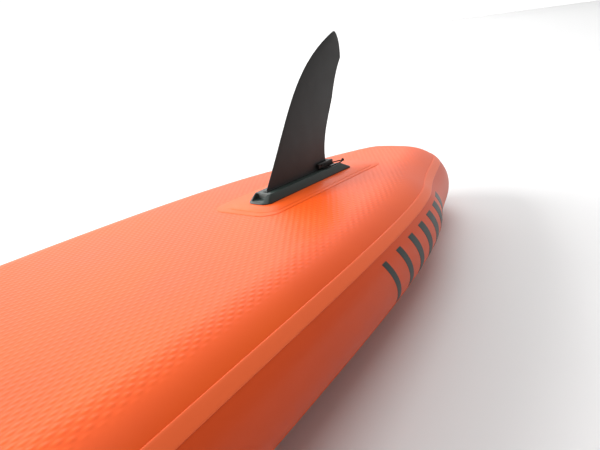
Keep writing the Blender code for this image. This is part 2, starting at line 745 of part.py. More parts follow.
def build_valve(deck, core):
    seat = seat_at("valve_seat", VALVE_X, 0.0, DECK)
    floor = -VALVE_DEPTH
    seal_top = 0.0011
    flange_top = seal_top + GAP + 0.0022
    body = turned("valve_body", [
        (VALVE_BORE, flange_top), (VALVE_FLANGE - 0.001, flange_top),
        (VALVE_FLANGE, flange_top - 0.001), (VALVE_FLANGE, seal_top + GAP),
        (VALVE_TUBE, seal_top + GAP), (VALVE_TUBE, floor), (0.0095, floor),
        (0.0095, floor + 0.003), (VALVE_BORE, floor + 0.003)], "valve_plastic", seat)
    bar_low, bar_high = floor + 0.006, floor + 0.009
    bar = cutter_box("valve_bar", (-VALVE_BORE - 0.0008, -0.0055, bar_low),
                     (VALVE_BORE + 0.0008, 0.0055, bar_high), seat)
    stem = 0.0026
    hole = hide_cutter(turned("valve_guide", [
        (0, bar_high + 0.01), (stem + GAP, bar_high + 0.01), (stem + GAP, bar_low - 0.001),
        (0, bar_low - 0.001)], "nylon", seat, steps=16))
    combine(body, bar, "UNION")
    combine(body, hole, "DIFFERENCE")
    turned("valve_seal", [
        (VALVE_TUBE + GAP, seal_top), (VALVE_FLANGE, seal_top), (VALVE_FLANGE, GAP),
        (VALVE_TUBE + GAP, GAP)], "rubber", seat)
    nut_top = -SKIN - GAP
    turned("valve_nut", [
        (VALVE_TUBE + GAP, nut_top), (0.0235, nut_top), (0.0235, nut_top - 0.005),
        (VALVE_TUBE + GAP, nut_top - 0.005)], "valve_plastic", seat)
    button_low, button_high = floor + 0.026, floor + 0.029
    turned("valve_plunger", [
        (0, button_high), (0.0075, button_high), (0.0080, button_high - 0.001),
        (0.0080, button_low), (stem, button_low), (stem, floor - GAP), (0.0125, floor - GAP),
        (0.0125, floor - 0.004), (0, floor - 0.004)], "valve_plastic", seat, steps=24)
    coil, turns, around, wire_radius = [], 4, 0.0052, 0.0005
    start, end = bar_high + wire_radius + GAP, button_low - wire_radius - GAP
    per_turn = 8
    for step in range(turns * per_turn + 1):
        turn = 2 * math.pi * step / per_turn
        coil.append((around * math.cos(turn), around * math.sin(turn),
                     start + (end - start) * step / (turns * per_turn)))
    wire("valve_spring", coil, wire_radius, "steel", seat, sides=1)
    ring_low = flange_top + GAP
    ring_high = ring_low + 0.0014
    neck = VALVE_BORE - 0.0006
    turned("valve_cap_ring", [
        (neck + GAP, ring_high), (0.0235, ring_high), (0.0235, ring_low), (neck + GAP, ring_low)],
        "rubber", seat)
    cap_low, cap_high = ring_high + GAP, ring_high + 0.0034
    cap = turned("valve_cap", [
        (0, cap_high), (0.0205, cap_high), (0.0215, cap_high - 0.001), (0.0215, cap_low),
        (neck, cap_low), (neck, -0.005), (0, -0.005)], "valve_plastic", seat)
    grip = cutter_box("cap_grip", (-0.016, -0.0022, cap_high - 0.001),
                      (0.016, 0.0022, cap_high + 0.0035), seat)
    combine(cap, grip, "UNION")
    tether = [(0.0240, ring_low + 0.0007), (0.0300, ring_low + 0.0009), (0.0345, ring_low),
              (0.0368, 0.0026), (0.0355, 0.0012), (0.0320, 0.0009), (0.0275, 0.0009)]
    strap("valve_tether", tether, 0.0030, 0.0010, "rubber", seat)
    room = hide_cutter(turned("valve_room", [
        (0, -SKIN - GAP / 2), (0.0265, -SKIN - GAP / 2), (0.0265, floor - 0.012),
        (0, floor - 0.012)], "nylon", seat, steps=24))
    bore = hide_cutter(turned("valve_hole", [
        (0, 0.01), (VALVE_TUBE + GAP, 0.01), (VALVE_TUBE + GAP, -0.01), (0, -0.01)],
        "nylon", seat))
    combine(core, room, "DIFFERENCE")
    combine(deck, bore, "DIFFERENCE")


# --- Assembly -----------------------------------------------------------------------------------
deck_skin = build_board()
chamber_core = build_core()
build_fin_group()
build_deck_pad()
build_handle()
build_nose_handle()
build_valve(deck_skin, chamber_core)
ring_set("leash", LEASH_X, 0.0, DECK, lying=1)
ring_set("tow", TOW_X, 0.0, HULL, lying=-1)
for row, (place, spread) in zip(("front", "rear"), BUNGEE_PLACES):
    for word, flank in (("left", 1), ("right", -1)):
        ring_set(f"bungee_{row}_{word}", place, flank * spread, DECK)
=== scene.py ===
"""Looks of an inflatable touring paddleboard, lying on its deck with the fin up.

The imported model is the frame: every piece here keeps its places and sizes. The board's curves are
worked out again from its driving dimensions, at a finer step, so that its skins come out smooth.
"""
import json
import math

import bmesh
import bpy
from mathutils import Matrix, Vector
from mathutils.geometry import interpolate_bezier


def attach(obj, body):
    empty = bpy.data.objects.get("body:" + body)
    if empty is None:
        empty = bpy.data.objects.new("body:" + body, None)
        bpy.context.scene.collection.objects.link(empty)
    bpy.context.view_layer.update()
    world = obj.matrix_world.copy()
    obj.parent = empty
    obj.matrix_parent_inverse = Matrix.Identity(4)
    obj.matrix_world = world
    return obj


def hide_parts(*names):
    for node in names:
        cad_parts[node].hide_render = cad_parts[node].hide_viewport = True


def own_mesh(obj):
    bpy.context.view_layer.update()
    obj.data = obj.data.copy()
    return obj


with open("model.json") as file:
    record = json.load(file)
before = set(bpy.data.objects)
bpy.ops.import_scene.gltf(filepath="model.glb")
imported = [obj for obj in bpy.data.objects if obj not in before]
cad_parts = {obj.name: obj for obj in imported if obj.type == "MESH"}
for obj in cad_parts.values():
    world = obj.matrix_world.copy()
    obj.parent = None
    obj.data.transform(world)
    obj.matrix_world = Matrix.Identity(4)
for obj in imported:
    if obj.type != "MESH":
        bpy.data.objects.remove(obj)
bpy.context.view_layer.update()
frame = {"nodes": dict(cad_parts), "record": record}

# --- The board's dimensions, as the frame has them ----------------------------------------------
LENGTH, WIDTH, THICKNESS, RAIL_DEPTH = 3.50, 0.65, 0.15, 0.089
TAIL_RUN, TAIL_DROOP = 0.90, 0.028
NOSE_RUN, NOSE_DROOP = 1.30, 0.130
REST_LIFT = 0.00092
JOINT_DEG, TAPE_LOW_DEG, TAPE_HIGH_DEG = 40.0, 34.0, 46.0
HULL, DECK = 1, -1
GAP = 0.0003

FIN_X = 1.335
BOX_HEIGHT = 0.014
BOX_FRONT, BOX_REAR, BOX_HALF = -0.105, 0.137, 0.0215
SLOT_HALF, KEY_HALF, KEY_HIGH = 0.0045, 0.0080, 0.0075
FIN_TONGUE = (-0.0815, 0.0870)
FIN_ROOT_HALF, FIN_TIP_HALF = 0.0036, 0.0014
CLIP_FRONT, CLIP_REAR, CLIP_HALF = 0.0550, 0.0980, 0.0085
CLIP_LOW, CLIP_HIGH = BOX_HEIGHT + 0.0018, BOX_HEIGHT + 0.0110

HANDLE_X, HANDLE_ARCH, HANDLE_HALF = 0.0, 0.036, 0.170
NOSE_HANDLE_X, NOSE_HANDLE_ARCH = -1.42, 0.024
VALVE_X, LEASH_X, TOW_X = 1.39, 1.53, -1.50
BUNGEE_PLACES = ((-1.04, 0.120), (-0.80, 0.140))
PAD_FRONT, PAD_REAR, PAD_THICK = -0.62, 1.27, 0.005
WIRE, BAR_HALF, BAR_HEIGHT, RING_REACH = 0.0022, 0.0165, 0.0064, 0.022
SKIN, SEAM_TAPE, PATCH = 0.0012, 0.0005, 0.0012      # thicknesses of cloth
SLIDE_GAP = 0.0008                                    # room on each side of the fin's foot and leg
STITCH_SINK = 0.0001


def droop(x):
    """How far the mid plane bends towards the deck at x."""
    tail = max(0.0, (x - LENGTH / 2 + TAIL_RUN) / TAIL_RUN)
    nose = max(0.0, (-x - LENGTH / 2 + NOSE_RUN) / NOSE_RUN)
    return TAIL_DROOP * tail ** 2 + NOSE_DROOP * nose ** 2


REST_X = LENGTH / 2 - RAIL_DEPTH
REST_SLOPE = (droop(REST_X) - droop(-REST_X)) / (2 * REST_X)


def level(x):
    """Height of the unbent mid plane, which is tilted so that nose and tail both rest."""
    return THICKNESS / 2 + REST_LIFT + droop(-REST_X) + REST_SLOPE * (x + REST_X)


def mid_height(x):
    return level(x) - droop(x)


def handle(point, degrees, reach):
    turn = math.radians(degrees)
    return point + Vector((math.cos(turn), math.sin(turn), 0)) * reach


def outline(finer=1):
    """The half outline from the nose tip to the tail tip: points and outward normals."""
    nose = Vector((-LENGTH / 2, 0, 0))
    nose_shoulder = Vector((-LENGTH / 2 + 0.34, 0.200, 0))
    widest = Vector((-0.20, WIDTH / 2, 0))
    hip = Vector((0.80, 0.2726, 0))
    tail_shoulder = Vector((LENGTH / 2 - 0.277, 0.190, 0))
    tail = Vector((LENGTH / 2, 0, 0))
    spans = (
        (nose, handle(nose, 90, 0.100), handle(nose_shoulder, 196, 0.120), nose_shoulder, 8),
        (nose_shoulder, handle(nose_shoulder, 16, 0.260), handle(widest, 180, 0.55), widest, 6),
        (widest, handle(widest, 0, 0.33), handle(hip, 176.6, 0.33), hip, 4),
        (hip, handle(hip, -3.4, 0.20), handle(tail_shoulder, 156.9, 0.144), tail_shoulder, 6),
        (tail_shoulder, handle(tail_shoulder, -23.1, 0.190), handle(tail, 90, 0.139), tail, 9),
    )
    points = [nose]
    for start, first, second, end, steps in spans:
        points += interpolate_bezier(start, first, second, end, steps * finer + 1)[1:]
    normals = [Vector((-1, 0, 0))]
    for before, after in zip(points, points[2:]):
        along = (after - before).normalized()
        normals.append(Vector((-along.y, along.x, 0)))
    normals.append(Vector((1, 0, 0)))
    return list(zip(points, normals))


COARSE = outline()
FINE = outline(6)


def flat_run(x):
    """Height and slope of the frame's mid plane at x, on the straight run it lies in."""
    stops = [edge.x - normal.x * RAIL_DEPTH for edge, normal in COARSE]
    for start, end in zip(stops, stops[1:]):
        if start <= x <= end:
            slope = (mid_height(end) - mid_height(start)) / (end - start)
            return mid_height(start) + slope * (x - start), slope
    raise ValueError("x is past the flat of the board")


def half_width(x):
    """Half width of the board's outline at x."""
    for (left, _), (right, _) in zip(FINE, FINE[1:]):
        if left.x <= x <= right.x:
            share = (x - left.x) / max(right.x - left.x, 1e-9)
            return left.y + share * (right.y - left.y)
    return 0.0


def rail_point(edge, normal, degrees, proud=0.0):
    """A point on the round side: 90 is the hull's edge line and -90 the deck's."""
    turn = math.radians(degrees)
    place = edge + normal * ((RAIL_DEPTH + proud) * math.cos(turn) - RAIL_DEPTH)
    place.z = mid_height(place.x) + (THICKNESS / 2 + proud) * math.sin(turn)
    return place


def seat_at(x, y, side):
    """The frame of a fitting on the hull or the deck, with +Z out of the board."""
    height, rise = flat_run(x)
    slope = math.atan(rise)
    along = Vector((math.cos(slope), 0, math.sin(slope)))
    out = Vector((-math.sin(slope), 0, math.cos(slope))) * side
    turn = Matrix((along, out.cross(along), out)).transposed().to_4x4()
    return Matrix.Translation((x, y, height + side * THICKNESS / 2)) @ turn


def bow(x, side, away):
    """Height of the bent surface at `away` along X from x, in the frame of seat_at(x, ...)."""
    height, rise = flat_run(x)
    return side * (mid_height(x + away) - height - rise * away)


# --- Small helpers ------------------------------------------------------------------------------
def link(thing):
    bpy.context.scene.collection.objects.link(thing)
    return thing


def calculate(tree, operation, first, second=None, clamp=False):
    """A Math node; an argument is a socket or a number."""
    node = tree.nodes.new("ShaderNodeMath")
    node.operation = operation
    node.use_clamp = clamp
    for socket, value in zip(node.inputs, (first, second)):
        if isinstance(value, (int, float)):
            socket.default_value = value
        elif value is not None:
            tree.links.new(value, socket)
    return node.outputs[0]


# --- Camera, floor and light --------------------------------------------------------------------
LENS_MM, SENSOR_MM = 31.81, 36.0
CAMERA_PLACE = Vector((-0.664, -0.537, 0.310))
CAMERA_YAW, CAMERA_PITCH, CAMERA_ROLL = 0.689, -0.350, -0.148
CAMERA_FOOT = LENGTH / 2 - 0.414
FLOOR_HALF, FLOOR_HEIGHT = 9.5, -0.0015
BASE_GLOW = 0.36
# Towards where the surroundings glow, the cosines between which the glow grows, and how strongly.
GLOWS = (((0.70, 0.70, 0.10), 0.1, 0.8, 0.70), ((0.1, 0.5, 1.0), 0.3, 1.0, 0.05))


def add_camera():
    """The camera, placed from the foot of the fin on the board's own unbent plane."""
    forward = Vector((math.cos(CAMERA_PITCH) * math.cos(CAMERA_YAW),
                      math.cos(CAMERA_PITCH) * math.sin(CAMERA_YAW), math.sin(CAMERA_PITCH)))
    side = forward.cross(Vector((0, 0, 1))).normalized()
    up = side.cross(forward)
    right = side * math.cos(CAMERA_ROLL) + up * math.sin(CAMERA_ROLL)
    top = up * math.cos(CAMERA_ROLL) - side * math.sin(CAMERA_ROLL)
    looking = Matrix((right, top, -forward)).transposed().to_4x4()
    tilt = Matrix.Rotation(-math.atan(REST_SLOPE), 4, "Y")
    foot = Matrix.Translation((CAMERA_FOOT, 0, level(CAMERA_FOOT)))
    data = bpy.data.cameras.new("view")
    data.sensor_width = SENSOR_MM
    data.lens = LENS_MM
    data.clip_start = 0.01
    camera = link(bpy.data.objects.new("view", data))
    camera.matrix_world = foot @ tilt @ Matrix.Translation(CAMERA_PLACE) @ looking
    bpy.context.scene.camera = camera


def soft_light(name, place, aim, size, power):
    data = bpy.data.lights.new(name, "AREA")
    data.shape = "RECTANGLE"
    data.size, data.size_y = size
    data.energy = power
    light = link(bpy.data.objects.new(name, data))
    light.location = place
    light.rotation_euler = (Vector(aim) - Vector(place)).to_track_quat("-Z", "Y").to_euler()


def wrap_world():
    """Pale surroundings, bright low down beyond the far side and dim behind the camera."""
    world = bpy.data.worlds.new("studio")
    world.use_nodes = True
    tree = world.node_tree
    look = tree.nodes.new("ShaderNodeTexCoord").outputs["Generated"]
    total = BASE_GLOW
    for way, low, high, glow in GLOWS:
        aim = tree.nodes.new("ShaderNodeVectorMath")
        aim.operation = "DOT_PRODUCT"
        tree.links.new(look, aim.inputs[0])
        aim.inputs[1].default_value = Vector(way).normalized()
        spread = tree.nodes.new("ShaderNodeMapRange")
        spread.interpolation_type = "SMOOTHSTEP"
        tree.links.new(aim.outputs["Value"], spread.inputs["Value"])
        spread.inputs["From Min"].default_value = low
        spread.inputs["From Max"].default_value = high
        lit = calculate(tree, "MULTIPLY", spread.outputs["Result"], glow)
        total = calculate(tree, "ADD", lit, total)
    backdrop = tree.nodes["Background"]
    backdrop.inputs["Color"].default_value = (1.0, 1.0, 1.0, 1.0)
    tree.links.new(total, backdrop.inputs["Strength"])
    bpy.context.scene.world = world


def build_studio():
    bpy.context.scene.view_settings.view_transform = "Standard"
    wrap_world()
    mesh = bpy.data.meshes.new("floor")
    mesh.from_pydata([(x * FLOOR_HALF, y * FLOOR_HALF, FLOOR_HEIGHT)
                      for x, y in ((-1, -1), (1, -1), (1, 1), (-1, 1))], [], [(0, 1, 2, 3)])
    floor = link(bpy.data.objects.new("floor", mesh))
    pale = bpy.data.materials.new("pale floor")
    pale.use_nodes = True
    shader = pale.node_tree.nodes["Principled BSDF"]
    shader.inputs["Base Color"].default_value = (0.74, 0.74, 0.74, 1.0)
    shader.inputs["Roughness"].default_value = 0.9
    mesh.materials.append(pale)
    soft_light("low key beyond the far side", (-1.7, 4.1, 2.4), (1.1, 0, 0.2), (5.0, 2.6), 640)
    soft_light("overhead", (0.8, -0.4, 5.0), (0.8, -0.4, 0.0), (4.0, 4.0), 95)
    soft_light("floor wash", (6.5, 6.5, 4.5), (6.8, 6.8, 0.0), (8.0, 8.0), 520)


add_camera()
build_studio()


# --- Material groups ----------------------------------------------------------------------------
def node_group(name, inputs, outputs):
    group = bpy.data.node_groups.new(name, "ShaderNodeTree")
    for title, kind, value in inputs:
        socket = group.interface.new_socket(title, in_out="INPUT", socket_type=kind)
        if value is not None:
            socket.default_value = value
    for title, kind in outputs:
        group.interface.new_socket(title, in_out="OUTPUT", socket_type=kind)
    return group, group.nodes.new("NodeGroupInput"), group.nodes.new("NodeGroupOutput")


def drop_stitch_group():
    """Small dents in crossed slanting rows, where the yarns pull the cloth in."""
    group, inside, out = node_group(
        "drop stitch dents",
        (("Vector", "NodeSocketVector", None), ("Per Metre X", "NodeSocketFloat", 65.0),
         ("Per Metre Y", "NodeSocketFloat", 98.0)),
        (("Height", "NodeSocketFloat"), ("Dent", "NodeSocketFloat")))
    split = group.nodes.new("ShaderNodeSeparateXYZ")
    group.links.new(inside.outputs["Vector"], split.inputs[0])
    wobble = group.nodes.new("ShaderNodeTexNoise")
    wobble.inputs["Scale"].default_value = 9.0
    wobble.inputs["Detail"].default_value = 2.0
    group.links.new(inside.outputs["Vector"], wobble.inputs["Vector"])
    stray = calculate(group, "MULTIPLY", wobble.outputs["Fac"], 2.2)
    along = calculate(group, "MULTIPLY", split.outputs[0], inside.outputs["Per Metre X"])
    across = calculate(group, "MULTIPLY", split.outputs[1], inside.outputs["Per Metre Y"])
    waves = []
    for operation in ("ADD", "SUBTRACT"):
        phase = calculate(group, operation, along, across)
        turn = calculate(group, "MULTIPLY", phase, 2 * math.pi)
        waves.append(calculate(group, "SINE", calculate(group, "ADD", turn, stray)))
    product = calculate(group, "MULTIPLY", waves[0], waves[1])
    ridges = calculate(group, "ADD", waves[0], waves[1])
    height = calculate(group, "ADD", calculate(group, "MULTIPLY", product, 0.35),
                       calculate(group, "MULTIPLY", ridges, 0.32))
    group.links.new(height, out.inputs["Height"])
    group.links.new(calculate(group, "MULTIPLY", height, -0.5, clamp=True), out.inputs["Dent"])
    return group


def grain_group():
    """The skin of moulded or coated stuff: fine pimples over slow, faint unevenness."""
    group, inside, out = node_group(
        "grain",
        (("Vector", "NodeSocketVector", None), ("Fine Scale", "NodeSocketFloat", 900.0),
         ("Broad Scale", "NodeSocketFloat", 12.0)),
        (("Height", "NodeSocketFloat"), ("Tone", "NodeSocketFloat"), ("Scuff", "NodeSocketFloat")))
    noises = []
    for scale, detail in (("Fine Scale", 3.0), ("Broad Scale", 4.0)):
        noise = group.nodes.new("ShaderNodeTexNoise")
        noise.inputs["Detail"].default_value = detail
        group.links.new(inside.outputs["Vector"], noise.inputs["Vector"])
        group.links.new(inside.outputs[scale], noise.inputs["Scale"])
        noises.append(noise.outputs["Fac"])
    group.links.new(noises[0], out.inputs["Height"])
    group.links.new(noises[1], out.inputs["Tone"])
    rare = calculate(group, "SUBTRACT", noises[1], 0.58)
    streak = calculate(group, "MULTIPLY", calculate(group, "MULTIPLY", rare, 6.0, clamp=True),
                       noises[0])
    group.links.new(streak, out.inputs["Scuff"])
    return group


def weave_group():
    """Plain weave of flat webbing, its ribs running across X and Y."""
    group, inside, out = node_group(
        "weave",
        (("Vector", "NodeSocketVector", None), ("Threads", "NodeSocketFloat", 900.0)),
        (("Height", "NodeSocketFloat"), ("Gap", "NodeSocketFloat")))
    split = group.nodes.new("ShaderNodeSeparateXYZ")
    group.links.new(inside.outputs["Vector"], split.inputs[0])
    waves = []
    for axis in (0, 1):
        phase = calculate(group, "MULTIPLY", split.outputs[axis], inside.outputs["Threads"])
        waves.append(calculate(group, "SINE", calculate(group, "MULTIPLY", phase, math.pi)))
    height = calculate(group, "ABSOLUTE", calculate(group, "MULTIPLY", waves[0], waves[1]))
    group.links.new(height, out.inputs["Height"])
    group.links.new(calculate(group, "SUBTRACT", 1.0, height, clamp=True), out.inputs["Gap"])
    return group


DROP_STITCH = drop_stitch_group()
GRAIN = grain_group()
WEAVE = weave_group()


# --- Materials ----------------------------------------------------------------------------------
class Finish:
    """A material under construction: its tree, its shader and where its textures are read."""

    def __init__(self, name, roughness, metallic=0.0, **sockets):
        self.material = bpy.data.materials.new(name)
        self.material.use_nodes = True
        self.tree = self.material.node_tree
        self.shader = self.tree.nodes["Principled BSDF"]
        self.shader.inputs["Roughness"].default_value = roughness
        self.shader.inputs["Metallic"].default_value = metallic
        for title, value in sockets.items():
            self.shader.inputs[title.replace("_", " ")].default_value = value
        self.place = self.tree.nodes.new("ShaderNodeTexCoord").outputs["Object"]

    def group(self, group, **values):
        node = self.tree.nodes.new("ShaderNodeGroup")
        node.node_tree = group
        self.tree.links.new(self.place, node.inputs["Vector"])
        for title, value in values.items():
            node.inputs[title.replace("_", " ")].default_value = value
        return node.outputs

    def mix(self, factor, first, second):
        node = self.tree.nodes.new("ShaderNodeMix")
        node.data_type = "RGBA"
        self.tree.links.new(factor, node.inputs["Factor"])
        for socket, value in zip((node.inputs["A"], node.inputs["B"]), (first, second)):
            self.paint(socket, value)
        return node.outputs["Result"]

    def paint(self, socket, value):
        if isinstance(value, tuple):
            socket.default_value = (*value, 1.0)
        else:
            self.tree.links.new(value, socket)

    def colour(self, value):
        self.paint(self.shader.inputs["Base Color"], value)

    def rough(self, value, low, high):
        spread = self.tree.nodes.new("ShaderNodeMapRange")
        self.tree.links.new(value, spread.inputs["Value"])
        spread.inputs["To Min"].default_value = low
        spread.inputs["To Max"].default_value = high
        self.tree.links.new(spread.outputs["Result"], self.shader.inputs["Roughness"])

    def bump(self, height, depth, strength=1.0, under=None):
        node = self.tree.nodes.new("ShaderNodeBump")
        node.inputs["Distance"].default_value = depth
        if isinstance(strength, float):
            node.inputs["Strength"].default_value = strength
        else:
            self.tree.links.new(strength, node.inputs["Strength"])
        self.tree.links.new(height, node.inputs["Height"])
        if under is not None:
            self.tree.links.new(under, node.inputs["Normal"])
        return node.outputs["Normal"]

    def normal(self, value):
        self.tree.links.new(value, self.shader.inputs["Normal"])


ORANGE = (0.88, 0.114, 0.008)
DEEP_ORANGE = (0.76, 0.073, 0.006)


def coated_cloth(name, base, deep, dented=False, roughness=(0.36, 0.46)):
    """Orange coated cloth, with the drop stitch's dents where the mesh says so: the dents are
    bumped, and their colour is darkened as painted shade.
    """
    finish = Finish(name, roughness[0], Specular_IOR_Level=0.22)
    grain = finish.group(GRAIN, Fine_Scale=1400.0, Broad_Scale=7.0)
    tone = finish.mix(grain["Tone"], deep, base)
    normal = finish.bump(grain["Height"], 0.00004, 0.35)
    if dented:
        dents = finish.group(DROP_STITCH, Per_Metre_X=72.0, Per_Metre_Y=104.0)
        flat = finish.tree.nodes.new("ShaderNodeAttribute")
        flat.attribute_name = "dented"
        # Painted shade: the colour darkens towards the deep orange in the bottoms of the dents.
        shade = calculate(finish.tree, "MULTIPLY", dents["Dent"], flat.outputs["Fac"])
        tone = finish.mix(calculate(finish.tree, "MULTIPLY", shade, 0.55), tone, deep)
        normal = finish.bump(dents["Height"], 0.00027, flat.outputs["Fac"], under=normal)
    finish.colour(tone)
    finish.rough(grain["Tone"], *roughness)
    finish.normal(normal)
    return finish.material


def moulded(name, base, worn, roughness, fine=1600.0, depth=0.00003):
    """Moulded plastic or rubber with a fine skin and faint rubbed patches."""
    finish = Finish(name, roughness)
    grain = finish.group(GRAIN, Fine_Scale=fine, Broad_Scale=28.0)
    finish.colour(finish.mix(grain["Scuff"], base, worn))
    finish.rough(grain["Tone"], roughness - 0.07, roughness + 0.09)
    finish.normal(finish.bump(grain["Height"], depth, 0.5))
    return finish.material


def woven(name, base, dark, threads, depth=0.0002):
    finish = Finish(name, 0.85, Specular_IOR_Level=0.3)
    weave = finish.group(WEAVE, Threads=threads)
    grain = finish.group(GRAIN, Fine_Scale=2500.0, Broad_Scale=20.0)
    # Painted shade: the colour darkens towards the dark colour in the gaps between the threads.
    finish.colour(finish.mix(weave["Gap"], base, dark))
    finish.rough(grain["Tone"], 0.78, 0.92)
    finish.normal(finish.bump(weave["Height"], depth, 0.8))
    return finish.material


def wire_steel(name):
    finish = Finish(name, 0.25, metallic=1.0)
    grain = finish.group(GRAIN, Fine_Scale=1800.0, Broad_Scale=60.0)
    finish.colour(finish.mix(grain["Tone"], (0.50, 0.50, 0.49), (0.66, 0.66, 0.64)))
    finish.rough(grain["Tone"], 0.18, 0.34)
    finish.normal(finish.bump(grain["Height"], 0.00001, 0.4))
    return finish.material


MATERIALS = {
    "hull_pvc": coated_cloth("dimpled orange cloth", ORANGE, DEEP_ORANGE, dented=True),
    # The sides' cloth is the hull's orange painted darker: painted shade for the sides that turn
    # away from the light.
    "rail_pvc": coated_cloth("smooth orange cloth in painted shade", (0.66, 0.070, 0.009), (0.61, 0.062, 0.008)),
    "tape_pvc": coated_cloth("orange seam tape", (0.88, 0.142, 0.038), (0.85, 0.126, 0.032)),
    "patch_pvc": coated_cloth("orange patch", (0.88, 0.112, 0.012), (0.84, 0.098, 0.010)),
    "ink": coated_cloth("dark printed bars", (0.022, 0.034, 0.030), (0.018, 0.028, 0.025)),
    "core_yarn": woven("undyed yarn", (0.80, 0.80, 0.76), (0.55, 0.55, 0.52), 700.0),
    "nylon": moulded("charcoal nylon", (0.011, 0.011, 0.010), (0.024, 0.024, 0.022), 0.50),
    "box_plastic": moulded("charcoal box plastic", (0.020, 0.032, 0.028), (0.042, 0.056, 0.051),
                           0.42),
    "cord": woven("black braid", (0.010, 0.010, 0.010), (0.003, 0.003, 0.003), 1600.0, 0.0001),
    "webbing": woven("black webbing", (0.030, 0.030, 0.032), (0.010, 0.010, 0.010), 900.0),
    "thread": woven("grey thread", (0.30, 0.30, 0.30), (0.15, 0.15, 0.15), 2600.0, 0.0001),
    "foam": moulded("grey deck foam", (0.13, 0.135, 0.135), (0.20, 0.205, 0.205), 0.88,
                    fine=700.0, depth=0.00012),
    "neoprene": moulded("black neoprene", (0.020, 0.020, 0.021), (0.032, 0.032, 0.033), 0.92,
                        fine=1100.0, depth=0.00008),
    "steel": wire_steel("stainless wire"),
    "rubber": moulded("black rubber", (0.022, 0.022, 0.022), (0.04, 0.04, 0.04), 0.66),
    "valve_plastic": moulded("grey valve plastic", (0.16, 0.17, 0.17), (0.24, 0.25, 0.25), 0.40),
}


# --- Making pieces ------------------------------------------------------------------------------
def add_piece(name, mesh, look, body="board", stands_for=(), record_slot=None, sharp=35):
    """Link a mesh as a piece, with its material, its body and the CAD nodes that it replaces."""
    piece = link(bpy.data.objects.new(name, mesh))
    mesh.materials.append(MATERIALS[look])
    mesh.shade_smooth()
    mesh.set_sharp_from_angle(angle=math.radians(sharp))
    if stands_for:
        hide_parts(*stands_for)
    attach(piece, body)
    return piece


def to_mesh(name, shell, merge=True):
    """The mesh of a bmesh, with coinciding points merged and its faces turned outward."""
    if merge:
        bmesh.ops.remove_doubles(shell, verts=shell.verts, dist=0.00001)
        bmesh.ops.recalc_face_normals(shell, faces=shell.faces)
    mesh = bpy.data.meshes.new(name)
    shell.to_mesh(mesh)
    shell.free()
    return mesh


def loft(name, rings, around=False, even_ends=False):
    """A closed mesh through rings of the same number of points, with a face over each end, or
    from the last ring back to the first; even_ends splits wide end faces into even triangles."""
    shell = bmesh.new()
    made = [[shell.verts.new(point) for point in ring] for ring in rings]
    for low, high in zip(made, made[1:] + made[:int(around)]):
        for index in range(len(low)):
            after = (index + 1) % len(low)
            shell.faces.new((low[index], low[after], high[after], high[index]))
    for ring in () if around else (made[0], made[-1]):
        face = shell.faces.new(ring)
        if even_ends:
            bmesh.ops.triangulate(shell, faces=[face], quad_method="SHORT_EDGE",
                                  ngon_method="BEAUTY")
    return to_mesh(name, shell)


def grid_skin(name, rows, outward, dented=None):
    """One open sheet over the grid of points, facing outward."""
    shell = bmesh.new()
    layer = shell.verts.layers.float.new("dented") if dented else None
    grid = [[shell.verts.new(point) for point in row] for row in rows]
    if dented:
        for row in grid:
            for vert, share in zip(row, dented):
                vert[layer] = share
    for row, following in zip(grid, grid[1:]):
        for column in range(len(row) - 1):
            shell.faces.new((row[column], following[column], following[column + 1],
                             row[column + 1]))
    bmesh.ops.remove_doubles(shell, verts=shell.verts, dist=0.00002)
    bmesh.ops.dissolve_degenerate(shell, edges=shell.edges, dist=0.000005)
    shell.normal_update()
    total = sum((face.normal * face.calc_area() for face in shell.faces), Vector())
    if total.dot(outward) < 0:
        bmesh.ops.reverse_faces(shell, faces=shell.faces)
    return to_mesh(name, shell, merge=False)


def thicken(piece, thickness):
    skin = piece.modifiers.new("skin", "SOLIDIFY")
    skin.thickness = thickness
    skin.offset = -1
    return piece


# --- Air chamber --------------------------------------------------------------------------------
DENTED_FROM_DEG, DENTED_TO_DEG = 64, 72


def build_panel(side, name, node):
    """The flat hull or deck, all across, with its curves down to the side seams."""
    arc = [90 - step * 3.5 for step in range(1, 15)] + [JOINT_DEG + 0.3]
    shares = [1, 0.8, 0.6, 0.4, 0.2]
    rows = []
    for edge, normal in FINE:
        top = rail_point(edge, normal, 90 * side)
        half = [rail_point(edge, normal, side * angle) for angle in reversed(arc)]
        half += [Vector((top.x, top.y * share, top.z)) for share in shares]
        other = [Vector((p.x, -p.y, p.z)) for p in reversed(half)]
        rows.append(half + [Vector((top.x, 0, top.z))] + other)
    fade = [min(1.0, max(0.0, (angle - DENTED_FROM_DEG) / (DENTED_TO_DEG - DENTED_FROM_DEG)))
            for angle in reversed(arc)] + [1.0] * len(shares)
    mesh = grid_skin(name, rows, Vector((0, 0, side)), fade + [1.0] + fade[::-1])
    thicken(add_piece(name, mesh, "hull_pvc", stands_for=(node,), sharp=60), SKIN)


def build_strip(name, node, flank, steps, look, thickness):
    """A strip along one side; steps are (angle, proud)."""
    rows = []
    for edge, normal in FINE:
        points = [rail_point(edge, normal, angle, proud) for angle, proud in steps]
        for point in points:
            point.y = flank * max(point.y, 0.00012)
        rows.append(points)
    mesh = grid_skin(name, rows, Vector((0, flank, 0)))
    thicken(add_piece(name, mesh, look, stands_for=(node,), sharp=60), thickness)


BAR_COUNT, BAR_START, BAR_PITCH = 7, 1.182, 0.047
BAR_TOP_DEG, BAR_LOW_DEG, BAR_LEAN = 27, -27, 0.030


def side_place(x_along, degrees, flank, proud):
    """A point on the side at the outline point nearest x_along."""
    best = min(range(1, len(FINE) - 1), key=lambda i: abs(FINE[i][0].x - x_along))
    low = best if FINE[best][0].x <= x_along else best - 1
    (start, first), (end, second) = FINE[low], FINE[low + 1]
    share = (x_along - start.x) / (end.x - start.x)
    point = rail_point(start.lerp(end, share), first.lerp(second, share).normalized(), degrees,
                       proud)
    return Vector((point.x, flank * point.y, point.z))


